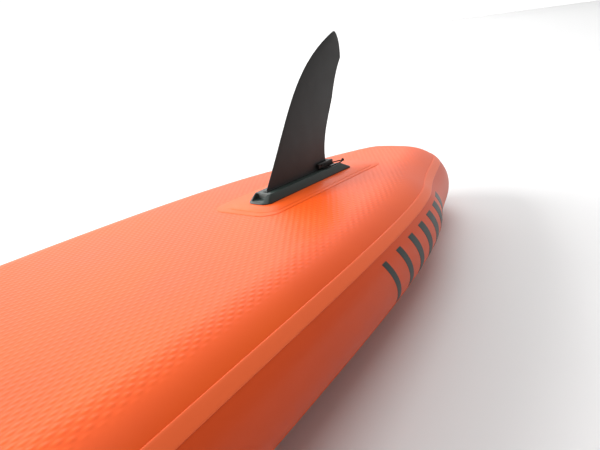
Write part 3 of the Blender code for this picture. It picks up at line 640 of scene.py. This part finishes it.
def build_bars(flank, word):
    """Plain slanting bars printed on the side, each wider than the one before."""
    proud, thin, steps = 0.00030, 0.00022, 10
    shell = bmesh.new()
    for bar in range(BAR_COUNT):
        width = 0.0126 + 0.0026 * bar
        start = BAR_START + BAR_PITCH * bar
        rows = []
        for step in range(steps + 1):
            share = step / steps
            angle = BAR_TOP_DEG + (BAR_LOW_DEG - BAR_TOP_DEG) * share
            lean = BAR_LEAN * share
            rows.append([[side_place(start + lean + width * k / 3, angle, flank, height)
                          for k in range(4)] for height in (proud - thin, proud)])
        verts = [[[shell.verts.new(p) for p in layer] for layer in row] for row in rows]
        for low, high in zip(verts, verts[1:]):
            for k in range(3):
                shell.faces.new((low[1][k], low[1][k + 1], high[1][k + 1], high[1][k]))
                shell.faces.new((low[0][k], high[0][k], high[0][k + 1], low[0][k + 1]))
            for k in (0, 3):
                shell.faces.new((low[0][k], low[1][k], high[1][k], high[0][k]))
        for row in (verts[0], verts[-1]):
            for k in range(3):
                shell.faces.new((row[0][k], row[0][k + 1], row[1][k + 1], row[1][k]))
    add_piece(f"side_bars_{word}", to_mesh(f"side_bars_{word}", shell), "ink",
              record_slot="rail_pvc")


def build_chamber():
    build_panel(HULL, "hull_skin", "hull_panel")
    build_panel(DECK, "deck_skin", "deck_panel")
    edge = JOINT_DEG - 0.3
    side = [(edge - step * 2 * edge / 22, 0.0) for step in range(23)]
    proud = 0.0009
    for word, flank in (("left", 1), ("right", -1)):
        build_strip(f"side_{word}", f"rail_{word}", flank, side, "rail_pvc", SKIN)
        for face, turn in (("hull", 1), ("deck", -1)):
            high, low = TAPE_HIGH_DEG, TAPE_LOW_DEG
            across = [(high, 0.0002), (high - 0.25, 0.0006), (high - 0.7, proud)]
            across += [(high - 0.7 - step * (high - low - 1.4) / 6, proud) for step in range(1, 6)]
            across += [(low + 0.7, proud), (low + 0.25, 0.0006), (low, 0.0002)]
            steps = [(turn * angle, out) for angle, out in across]
            build_strip(f"{face}_tape_{word}", f"{face}_seam_tape_{word}", flank, steps,
                        "tape_pvc", SEAM_TAPE)
        build_bars(flank, word)


build_chamber()


# --- Fin, box and clip --------------------------------------------------------------------------
FIN_SEAT = seat_at(FIN_X, 0.0, HULL)


def placed(mesh, matrix):
    mesh.transform(matrix)
    return mesh


def along_bezier(spans, count):
    points = []
    for span in spans:
        curve = interpolate_bezier(*[Vector((*p, 0)) for p in span], count)
        points += [(p.x, p.y) for p in curve]
    return points


def at_height(points, height):
    for (x0, z0), (x1, z1) in zip(points, points[1:]):
        if min(z0, z1) <= height <= max(z0, z1) and z0 != z1:
            return x0 + (x1 - x0) * (height - z0) / (z1 - z0)
    return points[-1][0]


FIN_TIP = (0.1511, 0.2379)
LEADING_EDGE = [((-0.0812, 0.0120), (0.0010, 0.1195), (0.0220, 0.1911), FIN_TIP)]
TRAILING_EDGE = [
    (FIN_TIP, (0.1600, 0.2379), (0.1690, 0.2180), (0.1640, 0.1918)),
    ((0.1640, 0.1918), (0.1500, 0.1760), (0.1400, 0.1600), (0.1277, 0.1310)),
    ((0.1277, 0.1310), (0.1180, 0.1080), (0.0770, 0.0620), (0.0880, 0.0120)),
]


def foil(share, sharpness=0.10):
    """Half thickness of the blade across its chord, from 0 at the front to 1 at the rear."""
    front = math.sqrt(min(1.0, share / 0.30)) if share < 0.30 else 1.0
    rear = 1.0 if share < 0.42 else math.cos(math.pi / 2 * (share - 0.42) / 0.60)
    return max(sharpness, front * rear)


def build_fin():
    """The raked blade, lofted rib by rib, with its foot and the keyed tongue in the box."""
    leading, trailing = along_bezier(LEADING_EDGE, 90), along_bezier(TRAILING_EDGE, 50)
    root, ribs_count, around = BOX_HEIGHT + 0.0002, 64, 18
    ribs = []
    for rib in range(ribs_count + 1):
        share = rib / ribs_count
        rise = 1 - (1 - share) ** 1.7
        height = root + (FIN_TIP[1] - 0.0005 - root) * rise
        front, rear = at_height(leading, height), at_height(trailing, height)
        half = FIN_ROOT_HALF + (FIN_TIP_HALF - FIN_ROOT_HALF) * rise
        half *= min(1.0, 0.35 + 9.0 * (FIN_TIP[1] - height) / FIN_TIP[1])
        side = []
        for step in range(around + 1):
            place = 0.5 - 0.5 * math.cos(math.pi * step / around)
            side.append((front + (rear - front) * place, half * foil(place), height))
        ribs.append([(x, -y, z) for x, y, z in side] + side[::-1])
    add_piece("fin_blade", placed(loft("fin_blade", ribs), FIN_SEAT), "nylon", body="fin",
              stands_for=("fin",), sharp=50)
    front, rear = FIN_TONGUE
    for name, half, low, high, width in (
            ("fin_foot", SLOT_HALF - SLIDE_GAP, 0.0035, BOX_HEIGHT + 0.0015, 0.0007),
            ("fin_key", KEY_HALF - SLIDE_GAP, 0.0030, KEY_HIGH - 0.0006, 0.0005)):
        box_piece(name, (front, -half, low), (rear, half, high), width, "nylon", "fin")


def box_mesh(name, low, high, width, segments=3):
    """A box between two corners with rounded edges."""
    shell = bmesh.new()
    bmesh.ops.create_cube(shell, size=1.0)
    for vert in shell.verts:
        vert.co = Vector([a + (b - a) * (c + 0.5) for a, b, c in zip(low, high, vert.co)])
    bmesh.ops.bevel(shell, geom=list(shell.edges), offset=width, segments=segments, profile=0.7,
                    affect="EDGES", clamp_overlap=True)
    return to_mesh(name, shell)


def box_piece(name, low, high, width, look, body, seat=None, **more):
    mesh = placed(box_mesh(name, low, high, width), FIN_SEAT if seat is None else seat)
    return add_piece(name, mesh, look, body=body, **more)


def box_ring(front, rear, half, height, nose_radius, tail_radius, steps=9):
    """A rectangle with round corners, counter-clockwise from above."""
    corners = ((rear, -half, tail_radius, -90), (rear, half, tail_radius, 0),
               (front, half, nose_radius, 90), (front, -half, nose_radius, 180))
    points = []
    for x, y, radius, start in corners:
        centre_x = x - math.copysign(radius, x)
        centre_y = y - math.copysign(radius, y)
        for step in range(steps):
            turn = math.radians(start + 90 * step / (steps - 1))
            points.append((centre_x + radius * math.cos(turn),
                           centre_y + radius * math.sin(turn), height))
    return points


def cutter(name, low, high, width, segments=3):
    """A box that is only there to be cut out of a piece."""
    return link(bpy.data.objects.new(name, box_mesh(name, low, high, width, segments)))


def cut(mesh, tools, bevel=0.0):
    """The mesh with the tools' shapes cut out, and the edges softened."""
    work = link(bpy.data.objects.new("work", mesh))
    for tool in tools:
        change = work.modifiers.new("cut", "BOOLEAN")
        change.object = tool
    if bevel:
        soft = work.modifiers.new("soft edges", "BEVEL")
        soft.width = bevel
        soft.segments = 2
        soft.limit_method = "ANGLE"
        soft.angle_limit = math.radians(40)
    done = made_mesh(mesh.name, work)
    for used in tools:
        bpy.data.objects.remove(used)
    return done


def made_mesh(name, work):
    """The mesh of a working object as its modifiers or its curve make it; the object goes."""
    graph = bpy.context.evaluated_depsgraph_get()
    done = bpy.data.meshes.new_from_object(work.evaluated_get(graph))
    bpy.data.objects.remove(work)
    done.name = name
    return done


def build_fin_box():
    """The long low box with sloping sides, its keyed slot and the step at its front mouth."""
    slope, nose_slope, tail_slope = 0.005, 0.012, 0.024
    low, rim = 0.0016, 0.0012
    bottom = (BOX_FRONT, BOX_REAR, BOX_HALF)
    top = (BOX_FRONT + nose_slope, BOX_REAR - tail_slope, BOX_HALF - slope)
    step_half, step_deep, past = 0.0120, 0.0090, 0.01
    channel_front, beyond = FIN_TONGUE[0] - 0.0006, BOX_REAR + 0.02
    block = loft("fin_box_shell", [
        box_ring(*bottom, low, 0.013, 0.008),
        box_ring(*bottom, low + rim, 0.013, 0.008),
        box_ring(*top, BOX_HEIGHT, 0.009, 0.005)])
    tools = [
        cutter("slot", (channel_front, -SLOT_HALF, 0.0027),
               (beyond, SLOT_HALF, BOX_HEIGHT + past), 0.0003, 1),
        cutter("key", (channel_front, -KEY_HALF, 0.0024), (beyond, KEY_HALF, KEY_HIGH), 0.0003, 1),
        cutter("step", (BOX_FRONT - past, -step_half, BOX_HEIGHT - step_deep),
               (FIN_TONGUE[0] - 0.006, step_half, BOX_HEIGHT + past), 0.001, 2)]
    add_piece("fin_box_shell", placed(cut(block, tools, bevel=0.0005), FIN_SEAT), "box_plastic",
              stands_for=("fin_box",))


def build_fin_patch():
    """Two layers of cloth under the box, the upper a little smaller, with rounded rims."""
    layers = (("fin_patch_lower", -0.147, 0.190, 0.061, 0.030, 0.0002, 0.0007, ("fin_patch",)),
              ("fin_patch_upper", -0.133, 0.176, 0.052, 0.026, 0.0007, 0.0013, ()))
    inner = 0.0005
    for name, front, rear, half, radius, low, high, nodes in layers:
        cloth_sheet(name, nodes, FIN_X, 0.0, HULL, [
            box_ring(front, rear, half, low, radius, radius, 15),
            box_ring(front, rear, half, (low + high) / 2, radius, radius, 15),
            box_ring(front + inner, rear - inner, half - inner, high, radius, radius, 15)])


def cloth_sheet(name, nodes, x, y, side, rings):
    """Cloth through rings given on a flat, laid on the bent hull or deck."""
    parts = side_parts(rings[0])
    bent = [[(px, py, pz + bow(x, side, px)) for px, py, pz in finer(ring, parts)]
            for ring in rings]
    add_piece(name, placed(loft(name, bent, even_ends=True), seat_at(x, y, side)), "patch_pvc",
              stands_for=nodes, record_slot="hull_pvc", sharp=50)


def side_parts(ring, spacing=0.02):
    """Into how many parts each side of the ring is split, so that none is long."""
    return [max(1, round((Vector(end) - Vector(start)).length / spacing))
            for start, end in zip(ring, ring[1:] + ring[:1])]


def finer(ring, parts):
    """The ring with its sides split into the given numbers of parts."""
    made = []
    for start, end, count in zip(ring, ring[1:] + ring[:1], parts):
        start, end = Vector(start), Vector(end)
        made += [tuple(start.lerp(end, step / count)) for step in range(count)]
    return made


def build_clip():
    """The saddle clip with ribbed sides, and its leg down into the slot."""
    body = box_mesh("fin_clip_body", (CLIP_FRONT, -CLIP_HALF, CLIP_LOW),
                    (CLIP_REAR, CLIP_HALF, CLIP_HIGH), 0.0022)
    gap_half = FIN_ROOT_HALF + 0.0006
    tools = [cutter("gap", (CLIP_FRONT - 0.01, -gap_half, 0.0),
                    (0.0890, gap_half, CLIP_HIGH + 0.01), 0.0006)]
    for rib in range(3):
        start = CLIP_FRONT + 0.006 + 0.0065 * rib
        for flank in (-1, 1):
            face = flank * (CLIP_HALF + 0.0002)
            tools.append(cutter("rib", (start, face - 0.0009, CLIP_LOW + 0.003),
                                (start + 0.0026, face + 0.0009, CLIP_HIGH - 0.003), 0.0004, 2))
    add_piece("fin_clip_body", placed(cut(body, tools), FIN_SEAT), "nylon", body="clip",
              stands_for=("fin_clip",))
    leg_half = SLOT_HALF - SLIDE_GAP
    box_piece("fin_clip_leg", (0.0893, -leg_half, 0.0040),
              (0.0960, leg_half, CLIP_LOW + 0.003), 0.0005, "nylon", "clip")


CLIP_CORD_RADIUS, CLIP_KNOT_RADIUS = 0.0011, 0.0026
CLIP_KNOT = (0.1224, -0.0130, 0.0174)
CLIP_CORD = (
    (0.0590, -0.0099, 0.0226), (0.0700, -0.0101, 0.0216), (0.0840, -0.0103, 0.0204),
    (0.0980, -0.0105, 0.0192), (0.1100, -0.0109, 0.0180), (0.1175, -0.0122, 0.0173),
    (0.1185, -0.0144, 0.0168), (0.1140, -0.0158, 0.0163), (0.1040, -0.0162, 0.0160),
    (0.0920, -0.0160, 0.0160), (0.0800, -0.0156, 0.0160), (0.0700, -0.0140, 0.0162),
    (0.0640, -0.0115, 0.0166), (0.0600, -0.0100, 0.0168),
)


def smooth_through(points, per_span):
    """Points of a smooth curve through the given ones."""
    knots = [Vector(point) for point in points]
    made = []
    for index in range(len(knots) - 1):
        before = knots[max(index - 1, 0)]
        start, end = knots[index], knots[index + 1]
        after = knots[min(index + 2, len(knots) - 1)]
        first = start + (end - before) / 6
        second = end - (after - start) / 6
        made += interpolate_bezier(start, first, second, end, per_span + 1)[:-1]
    return made + [knots[-1]]


def round_curve(name, points, radius, resolution, closed=False):
    """A curve of round section through points in the frame."""
    curve = bpy.data.curves.new(name, "CURVE")
    curve.dimensions = "3D"
    curve.bevel_depth = radius
    curve.bevel_resolution = resolution
    curve.use_fill_caps = not closed
    spline = curve.splines.new("POLY")
    spline.points.add(len(points) - 1)
    for knot, point in zip(spline.points, points):
        knot.co = (*point, 1.0)
    spline.use_cyclic_u = closed
    return link(bpy.data.objects.new(name, curve))


def build_clip_cord():
    """The clip's pull cord: a short braided loop with a knot bead at its far end."""
    points = [FIN_SEAT @ point for point in smooth_through(CLIP_CORD, 4)]
    piece = round_curve("clip_cord", points, CLIP_CORD_RADIUS, 4)
    piece.data.materials.append(MATERIALS["cord"])
    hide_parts("fin_clip_cord")
    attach(piece, "clip")
    shell = bmesh.new()
    bmesh.ops.create_icosphere(shell, subdivisions=3, radius=CLIP_KNOT_RADIUS)
    for vert in shell.verts:
        twist = math.sin(vert.co.x * 2400 + vert.co.y * 1500) * 0.00012
        vert.co += vert.co.normalized() * twist
    knot = placed(to_mesh("clip_knot", shell),
                  FIN_SEAT @ Matrix.Translation(CLIP_KNOT))
    knot_piece = add_piece("clip_knot", knot, "cord", body="clip",
                           stands_for=("fin_clip_toggle",))


build_fin_patch()
build_fin_box()
build_fin()
build_clip()
build_clip_cord()


# --- Cloth, webbing and wire fittings -----------------------------------------------------------
def slab(name, xs, columns, low, high, keep=None):
    """A sheet with its own thickness: columns(x) are the y values, and low(i, j) and high(i, j)
    its heights at each crossing of a row and a column."""
    shell = bmesh.new()
    made = {}

    def vert(i, j, k):
        if (i, j, k) not in made:
            height = high(i, j) if k else low(i, j)
            made[i, j, k] = shell.verts.new((xs[i], columns(xs[i])[j], height))
        return made[i, j, k]

    last_i, last_j = len(xs) - 1, len(columns(xs[0])) - 1

    def filled(i, j):
        return 0 <= i < last_i and 0 <= j < last_j and (keep is None or keep(i, j))

    for i in range(last_i):
        for j in range(last_j):
            if not filled(i, j):
                continue
            for k in (0, 1):
                shell.faces.new((vert(i, j, k), vert(i + 1, j, k), vert(i + 1, j + 1, k),
                                 vert(i, j + 1, k)))
            sides = (((i - 1, j), (i, j), (i, j + 1)), ((i + 1, j), (i + 1, j), (i + 1, j + 1)),
                     ((i, j - 1), (i, j), (i + 1, j)), ((i, j + 1), (i, j + 1), (i + 1, j + 1)))
            for other, start, end in sides:
                if not filled(*other):
                    shell.faces.new((vert(*start, 0), vert(*end, 0), vert(*end, 1),
                                     vert(*start, 1)))
    return to_mesh(name, shell)


def patch_piece(name, node, x, y, side, half_long, half_wide, radius):
    """A welded cloth patch with round corners and a softly rounded rim."""
    cloth_sheet(name, (node,), x, y, side, [
        box_ring(-half_long + inward, half_long - inward, half_wide - inward, height,
                 radius - inward, radius - inward, 12)
        for height, inward in ((GAP, 0.0), (0.0009, 0.0), (PATCH, 0.0007))])


def ribbon(name, path, half, thickness, seat):
    """Flat webbing along (x, z) points, with rolled edges."""
    roll = 0.0004
    profile = [(-half, -0.5), (-half, 0.1), (-half + roll, 0.5), (half - roll, 0.5),
               (half, 0.1), (half, -0.5)]
    rings = []
    for index, (x, z) in enumerate(path):
        before, after = path[max(index - 1, 0)], path[min(index + 1, len(path) - 1)]
        along = (Vector(after) - Vector(before)).normalized() * thickness
        rings.append([(x - along.y * lift, y, z + along.x * lift) for y, lift in profile])
    return placed(loft(name, rings), seat)


def rounded_path(points, per_span=4):
    """(x, z) points of a smooth strap path through the given ones."""
    return [(p.x, p.y) for p in smooth_through([(x, z, 0) for x, z in points], per_span)]


def stitches(name, seat, runs, height, body="board", size=(0.0026, 0.0006, 0.0004)):
    """Rows of short threads lying on a strap; runs are ((x, y), (x, y)) with height(x)."""
    shell = bmesh.new()
    for start, end in runs:
        start, end = Vector(start), Vector(end)
        way = (end - start).normalized()
        across = Vector((-way.y, way.x))
        count = max(1, int((end - start).length / 0.0042))
        for step in range(count):
            middle = start.lerp(end, (step + 0.5) / count)
            corners = []
            for lift in (0.0, size[2]):
                for a, b in ((-1, -1), (1, -1), (1, 1), (-1, 1)):
                    spot = middle + way * a * size[0] / 2 + across * b * size[1] / 2
                    corners.append(shell.verts.new((*spot, height(spot.x) + lift)))
            for face in ((0, 1, 2, 3), (4, 5, 6, 7), (0, 1, 5, 4), (1, 2, 6, 5), (2, 3, 7, 6),
                         (3, 0, 4, 7)):
                shell.faces.new([corners[index] for index in face])
    mesh = placed(to_mesh(name, shell), seat)
    add_piece(name, mesh, "thread", body=body, record_slot="webbing")


def cross_box(near, far, half):
    """Stitching runs of a box with a cross, between two x values."""
    return (((near, -half), (far, -half)), ((near, half), (far, half)),
            ((near, -half), (near, half)), ((far, -half), (far, half)),
            ((near, -half), (far, half)), ((near, half), (far, -half)))


def wire_piece(name, node, points, body, matrix):
    """A closed ring of round wire."""
    shape = round_curve("wire work", [matrix @ Vector(point) for point in points], WIRE, 5, True)
    mesh = made_mesh(name, shape)
    mesh.materials.clear()
    add_piece(name, mesh, "steel", body=body, stands_for=(node,), sharp=60)


def ring_points(lying):
    """A D of wire, its corners a little rounded: standing out of the board or lying along X."""
    side = RING_REACH - BAR_HALF
    corner = 0.0026
    flat = []
    for y_way, start in ((-1, 180), (1, 270)):
        for step in range(6):
            turn = math.radians(start + 90 * step / 5)
            flat.append((y_way * (BAR_HALF - corner) + corner * math.cos(turn),
                         corner + corner * math.sin(turn)))
    flat += [(BAR_HALF, side)]
    bow_points = 24
    for step in range(1, bow_points):
        turn = math.pi * step / bow_points
        flat.append((BAR_HALF * math.cos(turn), side + BAR_HALF * math.sin(turn)))
    flat += [(-BAR_HALF, side)]
    if lying:
        return [(lying * z, y, BAR_HEIGHT) for y, z in flat]
    return [(0.0, y, z + BAR_HEIGHT) for y, z in flat]


def build_ring_set(name, x, y, side, lying=0):
    """A round welded patch, its webbing loop with stitching, and the ring that turns in it."""
    seat = seat_at(x, y, side)
    patch_piece(f"{name}_patch_cloth", f"{name}_patch", x, y, side, 0.0358, 0.0358, 0.0355)
    thick = LOOP_THICK
    foot = PATCH + GAP + thick / 2
    around = WIRE + GAP * 2 + thick / 2
    path = [(-0.022, foot), (-0.016, foot), (-around - 0.0035, foot)]
    for angle in range(180, -1, -12):
        turn = math.radians(angle)
        path.append((around * math.cos(turn), BAR_HEIGHT + around * math.sin(turn)))
    path += [(around + 0.0035, foot), (0.016, foot), (0.022, foot)]
    mesh = ribbon(f"{name}_loop", path, 0.0120, thick, seat)
    add_piece(f"{name}_loop", mesh, "webbing", stands_for=(f"{name}_webbing",), sharp=50)
    top = foot + thick / 2 - STITCH_SINK
    runs = cross_box(-0.0205, -0.0095, 0.0098) + cross_box(0.0095, 0.0205, 0.0098)
    stitches(f"{name}_stitching", seat, runs, lambda _: top)
    wire_piece(f"{name}_wire", f"{name}_ring", ring_points(lying), name, seat)


def arch(half, foot, top, run, rise):
    """A strap path: a foot, a rise, a level top and the same again."""
    left = [(-half, foot)] + [(-half + run + rise * along, foot + (top - foot) * up)
                              for along, up in ((0, 0), (0.35, 0.3), (0.7, 0.8), (1, 1))]
    inner = half - run - rise
    return left + [(-inner / 3, top), (inner / 3, top)] + [(-x, z) for x, z in reversed(left)]


HANDLE_PRESS, GRIP_HALF = 0.014, 0.055
STRAP_THICK, LOOP_THICK = 0.0020, 0.0014
# The sleeve's section along its half length: share, half width and half height, bore last.
SLEEVE = ((-1.0, 0.0218, 0.0062), (-0.985, 0.0236, 0.0078), (-0.95, 0.0243, 0.0084),
          (-0.6, 0.0245, 0.0085), (0.6, 0.0245, 0.0085), (0.95, 0.0243, 0.0084),
          (0.985, 0.0236, 0.0078), (1.0, 0.0218, 0.0062), (1.0, 0.0197, 0.0018),
          (-1.0, 0.0197, 0.0018))


def build_handle():
    """The centre handle: patch, stitched strap and the padded sleeve around it."""
    seat = seat_at(HANDLE_X, 0.0, DECK)
    patch_piece("handle_patch_cloth", "handle_patch", HANDLE_X, 0.0, DECK, 0.200, 0.045, 0.020)
    foot = PATCH + GAP + STRAP_THICK / 2
    path = rounded_path(arch(HANDLE_HALF, foot, HANDLE_ARCH, 0.045, 0.055))
    strap = add_piece("handle_webbing", ribbon("handle_webbing", path, 0.019, STRAP_THICK, seat),
                      "webbing", stands_for=("handle_strap",), sharp=50)
    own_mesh(strap)
    top = foot + STRAP_THICK / 2 - STITCH_SINK
    runs = cross_box(-0.165, -0.130, 0.0155) + cross_box(0.130, 0.165, 0.0155)
    stitches("handle_stitching", seat, runs, lambda _: top)
    rings, sides = [], 48
    for share, wide, high in SLEEVE:
        power = 0.5 if high > 0.005 else 0.15
        ring = []
        for step in range(sides):
            turn = 2 * math.pi * step / sides
            across, out = math.cos(turn), math.sin(turn)
            ring.append((share * GRIP_HALF, wide * math.copysign(abs(across) ** power, across),
                         HANDLE_ARCH + high * math.copysign(abs(out) ** power, out)))
        rings.append(ring)
    grip = add_piece("handle_sleeve", placed(loft("handle_sleeve", rings, around=True), seat),
                     "neoprene", body="grip", stands_for=("handle_grip",), record_slot="foam",
                     sharp=40)


def build_nose_handle():
    """The carrying strap on the nose, on its own patch."""
    seat = seat_at(NOSE_HANDLE_X, 0.0, DECK)
    patch_piece("nose_handle_patch_cloth", "nose_handle_patch", NOSE_HANDLE_X, 0.0, DECK, 0.110,
                0.032, 0.020)
    foot = PATCH + GAP + STRAP_THICK / 2

    def lift(x):
        return bow(NOSE_HANDLE_X, DECK, x) + foot
    path = [(x, z + lift(x))
            for x, z in rounded_path(arch(0.100, 0.0, NOSE_HANDLE_ARCH, 0.028, 0.032))]
    add_piece("nose_handle_webbing", ribbon("nose_handle_webbing", path, 0.0125, STRAP_THICK,
                                            seat),
              "webbing", stands_for=("nose_handle_strap",), sharp=50)
    runs = cross_box(-0.0965, -0.0760, 0.0102) + cross_box(0.0760, 0.0965, 0.0102)
    stitches("nose_handle_stitching", seat, runs, lambda x: lift(x) + STRAP_THICK / 2 - STITCH_SINK)


# --- Deck foam ----------------------------------------------------------------------------------
PAD_CUT_HALF, PAD_CUT_LONG, PAD_ROUND = 0.075, 0.225, 0.10
GROOVE_WIDE, GROOVE_DEEP = 0.0030, 0.0015
KICK_FRONT, KICK_REAR = PAD_REAR - 0.11, PAD_REAR - 0.01


def pad_half(x):
    """Half width of the foam at x, narrowing to a round front."""
    into = min(1.0, max(0.0, (x - PAD_FRONT) / PAD_ROUND))
    return (half_width(x) - RAIL_DEPTH - 0.004) * (0.72 + 0.28 * math.sqrt(into * (2 - into)))


def build_deck_pad():
    """Foam with long grooves that follow its outline, cut out around the centre handle."""
    seat = seat_at(0.0, 0.0, DECK)
    outer_bands, inner_bands = 7, 5
    xs = [PAD_FRONT + PAD_ROUND * share for share in (0, 0.04, 0.12, 0.25, 0.4, 0.55, 0.7, 0.85)]
    for start, end, steps in ((PAD_FRONT + PAD_ROUND, -PAD_CUT_LONG, 8),
                              (-PAD_CUT_LONG, PAD_CUT_LONG, 9), (PAD_CUT_LONG, PAD_REAR, 28)):
        xs += [start + (end - start) * step / steps for step in range(steps)]
    xs.append(PAD_REAR)

    def columns(x):
        half = pad_half(x)
        inner = min(PAD_CUT_HALF, half * 0.6)
        made = []
        for start, end, bands in ((-half, -inner, outer_bands), (-inner, inner, inner_bands),
                                  (inner, half, outer_bands)):
            pitch = (end - start) / bands
            for band in range(bands):
                edge = start + pitch * band
                made += [edge, edge + 0.0006, edge + GROOVE_WIDE - 0.0006, edge + GROOVE_WIDE]
        return made + [half - 0.0006, half]

    total = len(columns(0.0))
    cut_from, cut_to = 4 * outer_bands, 4 * (outer_bands + inner_bands)

    def high(i, j):
        rim = j in (0, total - 1) or i in (0, len(xs) - 1)
        groove = j % 4 in (1, 2) and 0 < j < total - 3
        down = GROOVE_DEEP if groove else (0.0012 if rim else 0.0)
        return PAD_THICK - 0.0002 - down + bow(0.0, DECK, xs[i])

    def keep(i, j):
        cut = -PAD_CUT_LONG - 0.0001 <= xs[i] < PAD_CUT_LONG - 0.0001
        return not (cut and cut_from <= j < cut_to)
    mesh = slab("deck_foam", xs, columns, lambda i, j: GAP + bow(0.0, DECK, xs[i]), high, keep)
    add_piece("deck_foam", placed(mesh, seat), "foam", stands_for=("deck_pad",),
                        sharp=30)
    half = pad_half(PAD_REAR) - 0.026
    steps = 24
    marks = [KICK_FRONT + (KICK_REAR - KICK_FRONT) * step / steps for step in range(steps + 1)]

    def rise(x):
        share = (x - KICK_FRONT) / (KICK_REAR - KICK_FRONT)
        return 0.0012 + 0.0128 * math.sin(math.pi * min(1.0, share * 1.08) ** 0.9) ** 0.8

    def kick_high(i, j):
        edge = min(j, 14 - j)
        soft = (0.15, 0.65, 0.92)[edge] if edge < 3 else 1.0
        return PAD_THICK + GAP + max(0.0008, rise(marks[i]) * soft) + bow(0.0, DECK, marks[i])
    widths = [-half + 0.004 * k for k in range(3)]
    widths += [(-half + 0.008) + (2 * half - 0.016) * k / 10 for k in range(1, 10)]
    widths += [half - 0.004 * k for k in (2, 1, 0)]
    mesh = slab("kick_foam", marks, lambda _: widths,
                lambda i, j: PAD_THICK + GAP + bow(0.0, DECK, marks[i]), kick_high)
    add_piece("kick_foam", placed(mesh, seat), "foam", stands_for=("kick_stop",),
                        sharp=30)


# --- Valve --------------------------------------------------------------------------------------
VALVE_BORE, SEAL_TOP, FLANGE_THICK, BAND_THICK = 0.0142, 0.0011, 0.0022, 0.0014


def lathe(name, profile, steps=72):
    """A solid turned about Z; the closed profile of (radius, z) runs down its outside."""
    shell = bmesh.new()
    rings = []
    for radius, height in profile:
        if radius < 1e-6:
            rings.append([shell.verts.new((0, 0, height))])
            continue
        rings.append([shell.verts.new((radius * math.cos(2 * math.pi * k / steps),
                                       radius * math.sin(2 * math.pi * k / steps), height))
                      for k in range(steps)])
    for upper, lower in zip(rings, rings[1:] + rings[:1]):
        if len(upper) == len(lower) == 1:
            continue
        for k in range(steps):
            after = (k + 1) % steps
            corners = [upper[k % len(upper)], upper[after % len(upper)],
                       lower[after % len(lower)], lower[k % len(lower)]]
            shell.faces.new(list(dict.fromkeys(corners)))
    return to_mesh(name, shell)


def build_valve():
    """The valve's ribbed cap and the rubber ring that holds it; its inside stays as it is."""
    seat = seat_at(VALVE_X, 0.0, DECK)
    ring_low = SEAL_TOP + FLANGE_THICK + 2 * GAP
    ring_high = ring_low + BAND_THICK
    neck = VALVE_BORE - 0.0006
    mesh = lathe("valve_band", [
        (neck + GAP, ring_high), (0.0231, ring_high), (0.0235, ring_high - 0.0004),
        (0.0235, ring_low + 0.0004), (0.0231, ring_low), (neck + GAP, ring_low)])
    add_piece("valve_band", placed(mesh, seat), "rubber", body="cap_ring",
              stands_for=("valve_cap_ring",))
    cap_low, cap_high = ring_high + GAP, ring_high + 0.0034
    ribs = 36
    dome = lathe("valve_lid", [
        (0, cap_high), (0.0150, cap_high), (0.0195, cap_high - 0.0004), (0.0212, cap_high - 0.0012),
        (0.0212, cap_low), (neck, cap_low), (neck, -0.0049), (0, -0.0049)], 144)
    for vert in dome.vertices:
        radius = math.hypot(vert.co.x, vert.co.y)
        if radius > 0.0205:
            turn = math.atan2(vert.co.y, vert.co.x)
            swell = 0.0002 * math.cos(ribs * turn)
            vert.co.x *= 1 + swell / radius
            vert.co.y *= 1 + swell / radius
    add_piece("valve_lid", placed(dome, seat), "valve_plastic", body="cap",
              stands_for=("valve_cap",))
    box_piece("valve_lid_grip", (-0.016, -0.0022, cap_high - 0.001),
              (0.016, 0.0022, cap_high + 0.0035), 0.0010, "valve_plastic", "cap", seat)
    build_valve_coil(seat)


COIL_LOW, COIL_HIGH = -0.031 + GAP, -0.014 - GAP
COIL_AROUND, COIL_WIRE, COIL_TURNS, VALVE_PRESS = 0.0052, 0.0005, 4, 0.004


def build_valve_coil(seat):
    """The spring from the valve's guide bar to its plunger."""
    per_turn, sides = 24, 10
    count = COIL_TURNS * per_turn
    start, end = COIL_LOW + COIL_WIRE, COIL_HIGH - COIL_WIRE
    up = Vector((0.0, 0.0, 1.0))
    rings = []
    for step in range(count + 1):
        turn = 2 * math.pi * step / per_turn
        out = Vector((math.cos(turn), math.sin(turn), 0.0))
        centre = out * COIL_AROUND + up * (start + (end - start) * step / count)
        rings.append([centre + COIL_WIRE * (out * math.cos(2 * math.pi * side / sides)
                                            + up * math.sin(2 * math.pi * side / sides))
                      for side in range(sides)])
    coil = add_piece("valve_coil", placed(loft("valve_coil", rings), seat), "steel",
                     stands_for=("valve_spring",))
    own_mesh(coil)


build_handle()
build_nose_handle()
build_deck_pad()
build_valve()
build_ring_set("leash", LEASH_X, 0.0, DECK, lying=1)
build_ring_set("tow", TOW_X, 0.0, HULL, lying=-1)
for row, (place, spread) in zip(("front", "rear"), BUNGEE_PLACES):
    for word, flank in (("left", 1), ("right", -1)):
        build_ring_set(f"bungee_{row}_{word}", place, flank * spread, DECK)


# --- Carried-over pieces ------------------------------------------------------------------------
def finish_cad_nodes():
    """Every frame node that stays gets the material of its slot."""
    slots = {part["node"]: part["material_slot"] for part in frame["record"]["subparts"]}
    for node, shown in frame["nodes"].items():
        look = slots[node]
        look = "patch_pvc" if node.endswith("_patch") else look
        if shown.material_slots:
            shown.material_slots[0].link = "OBJECT"
            shown.material_slots[0].material = MATERIALS[look]


finish_cad_nodes()
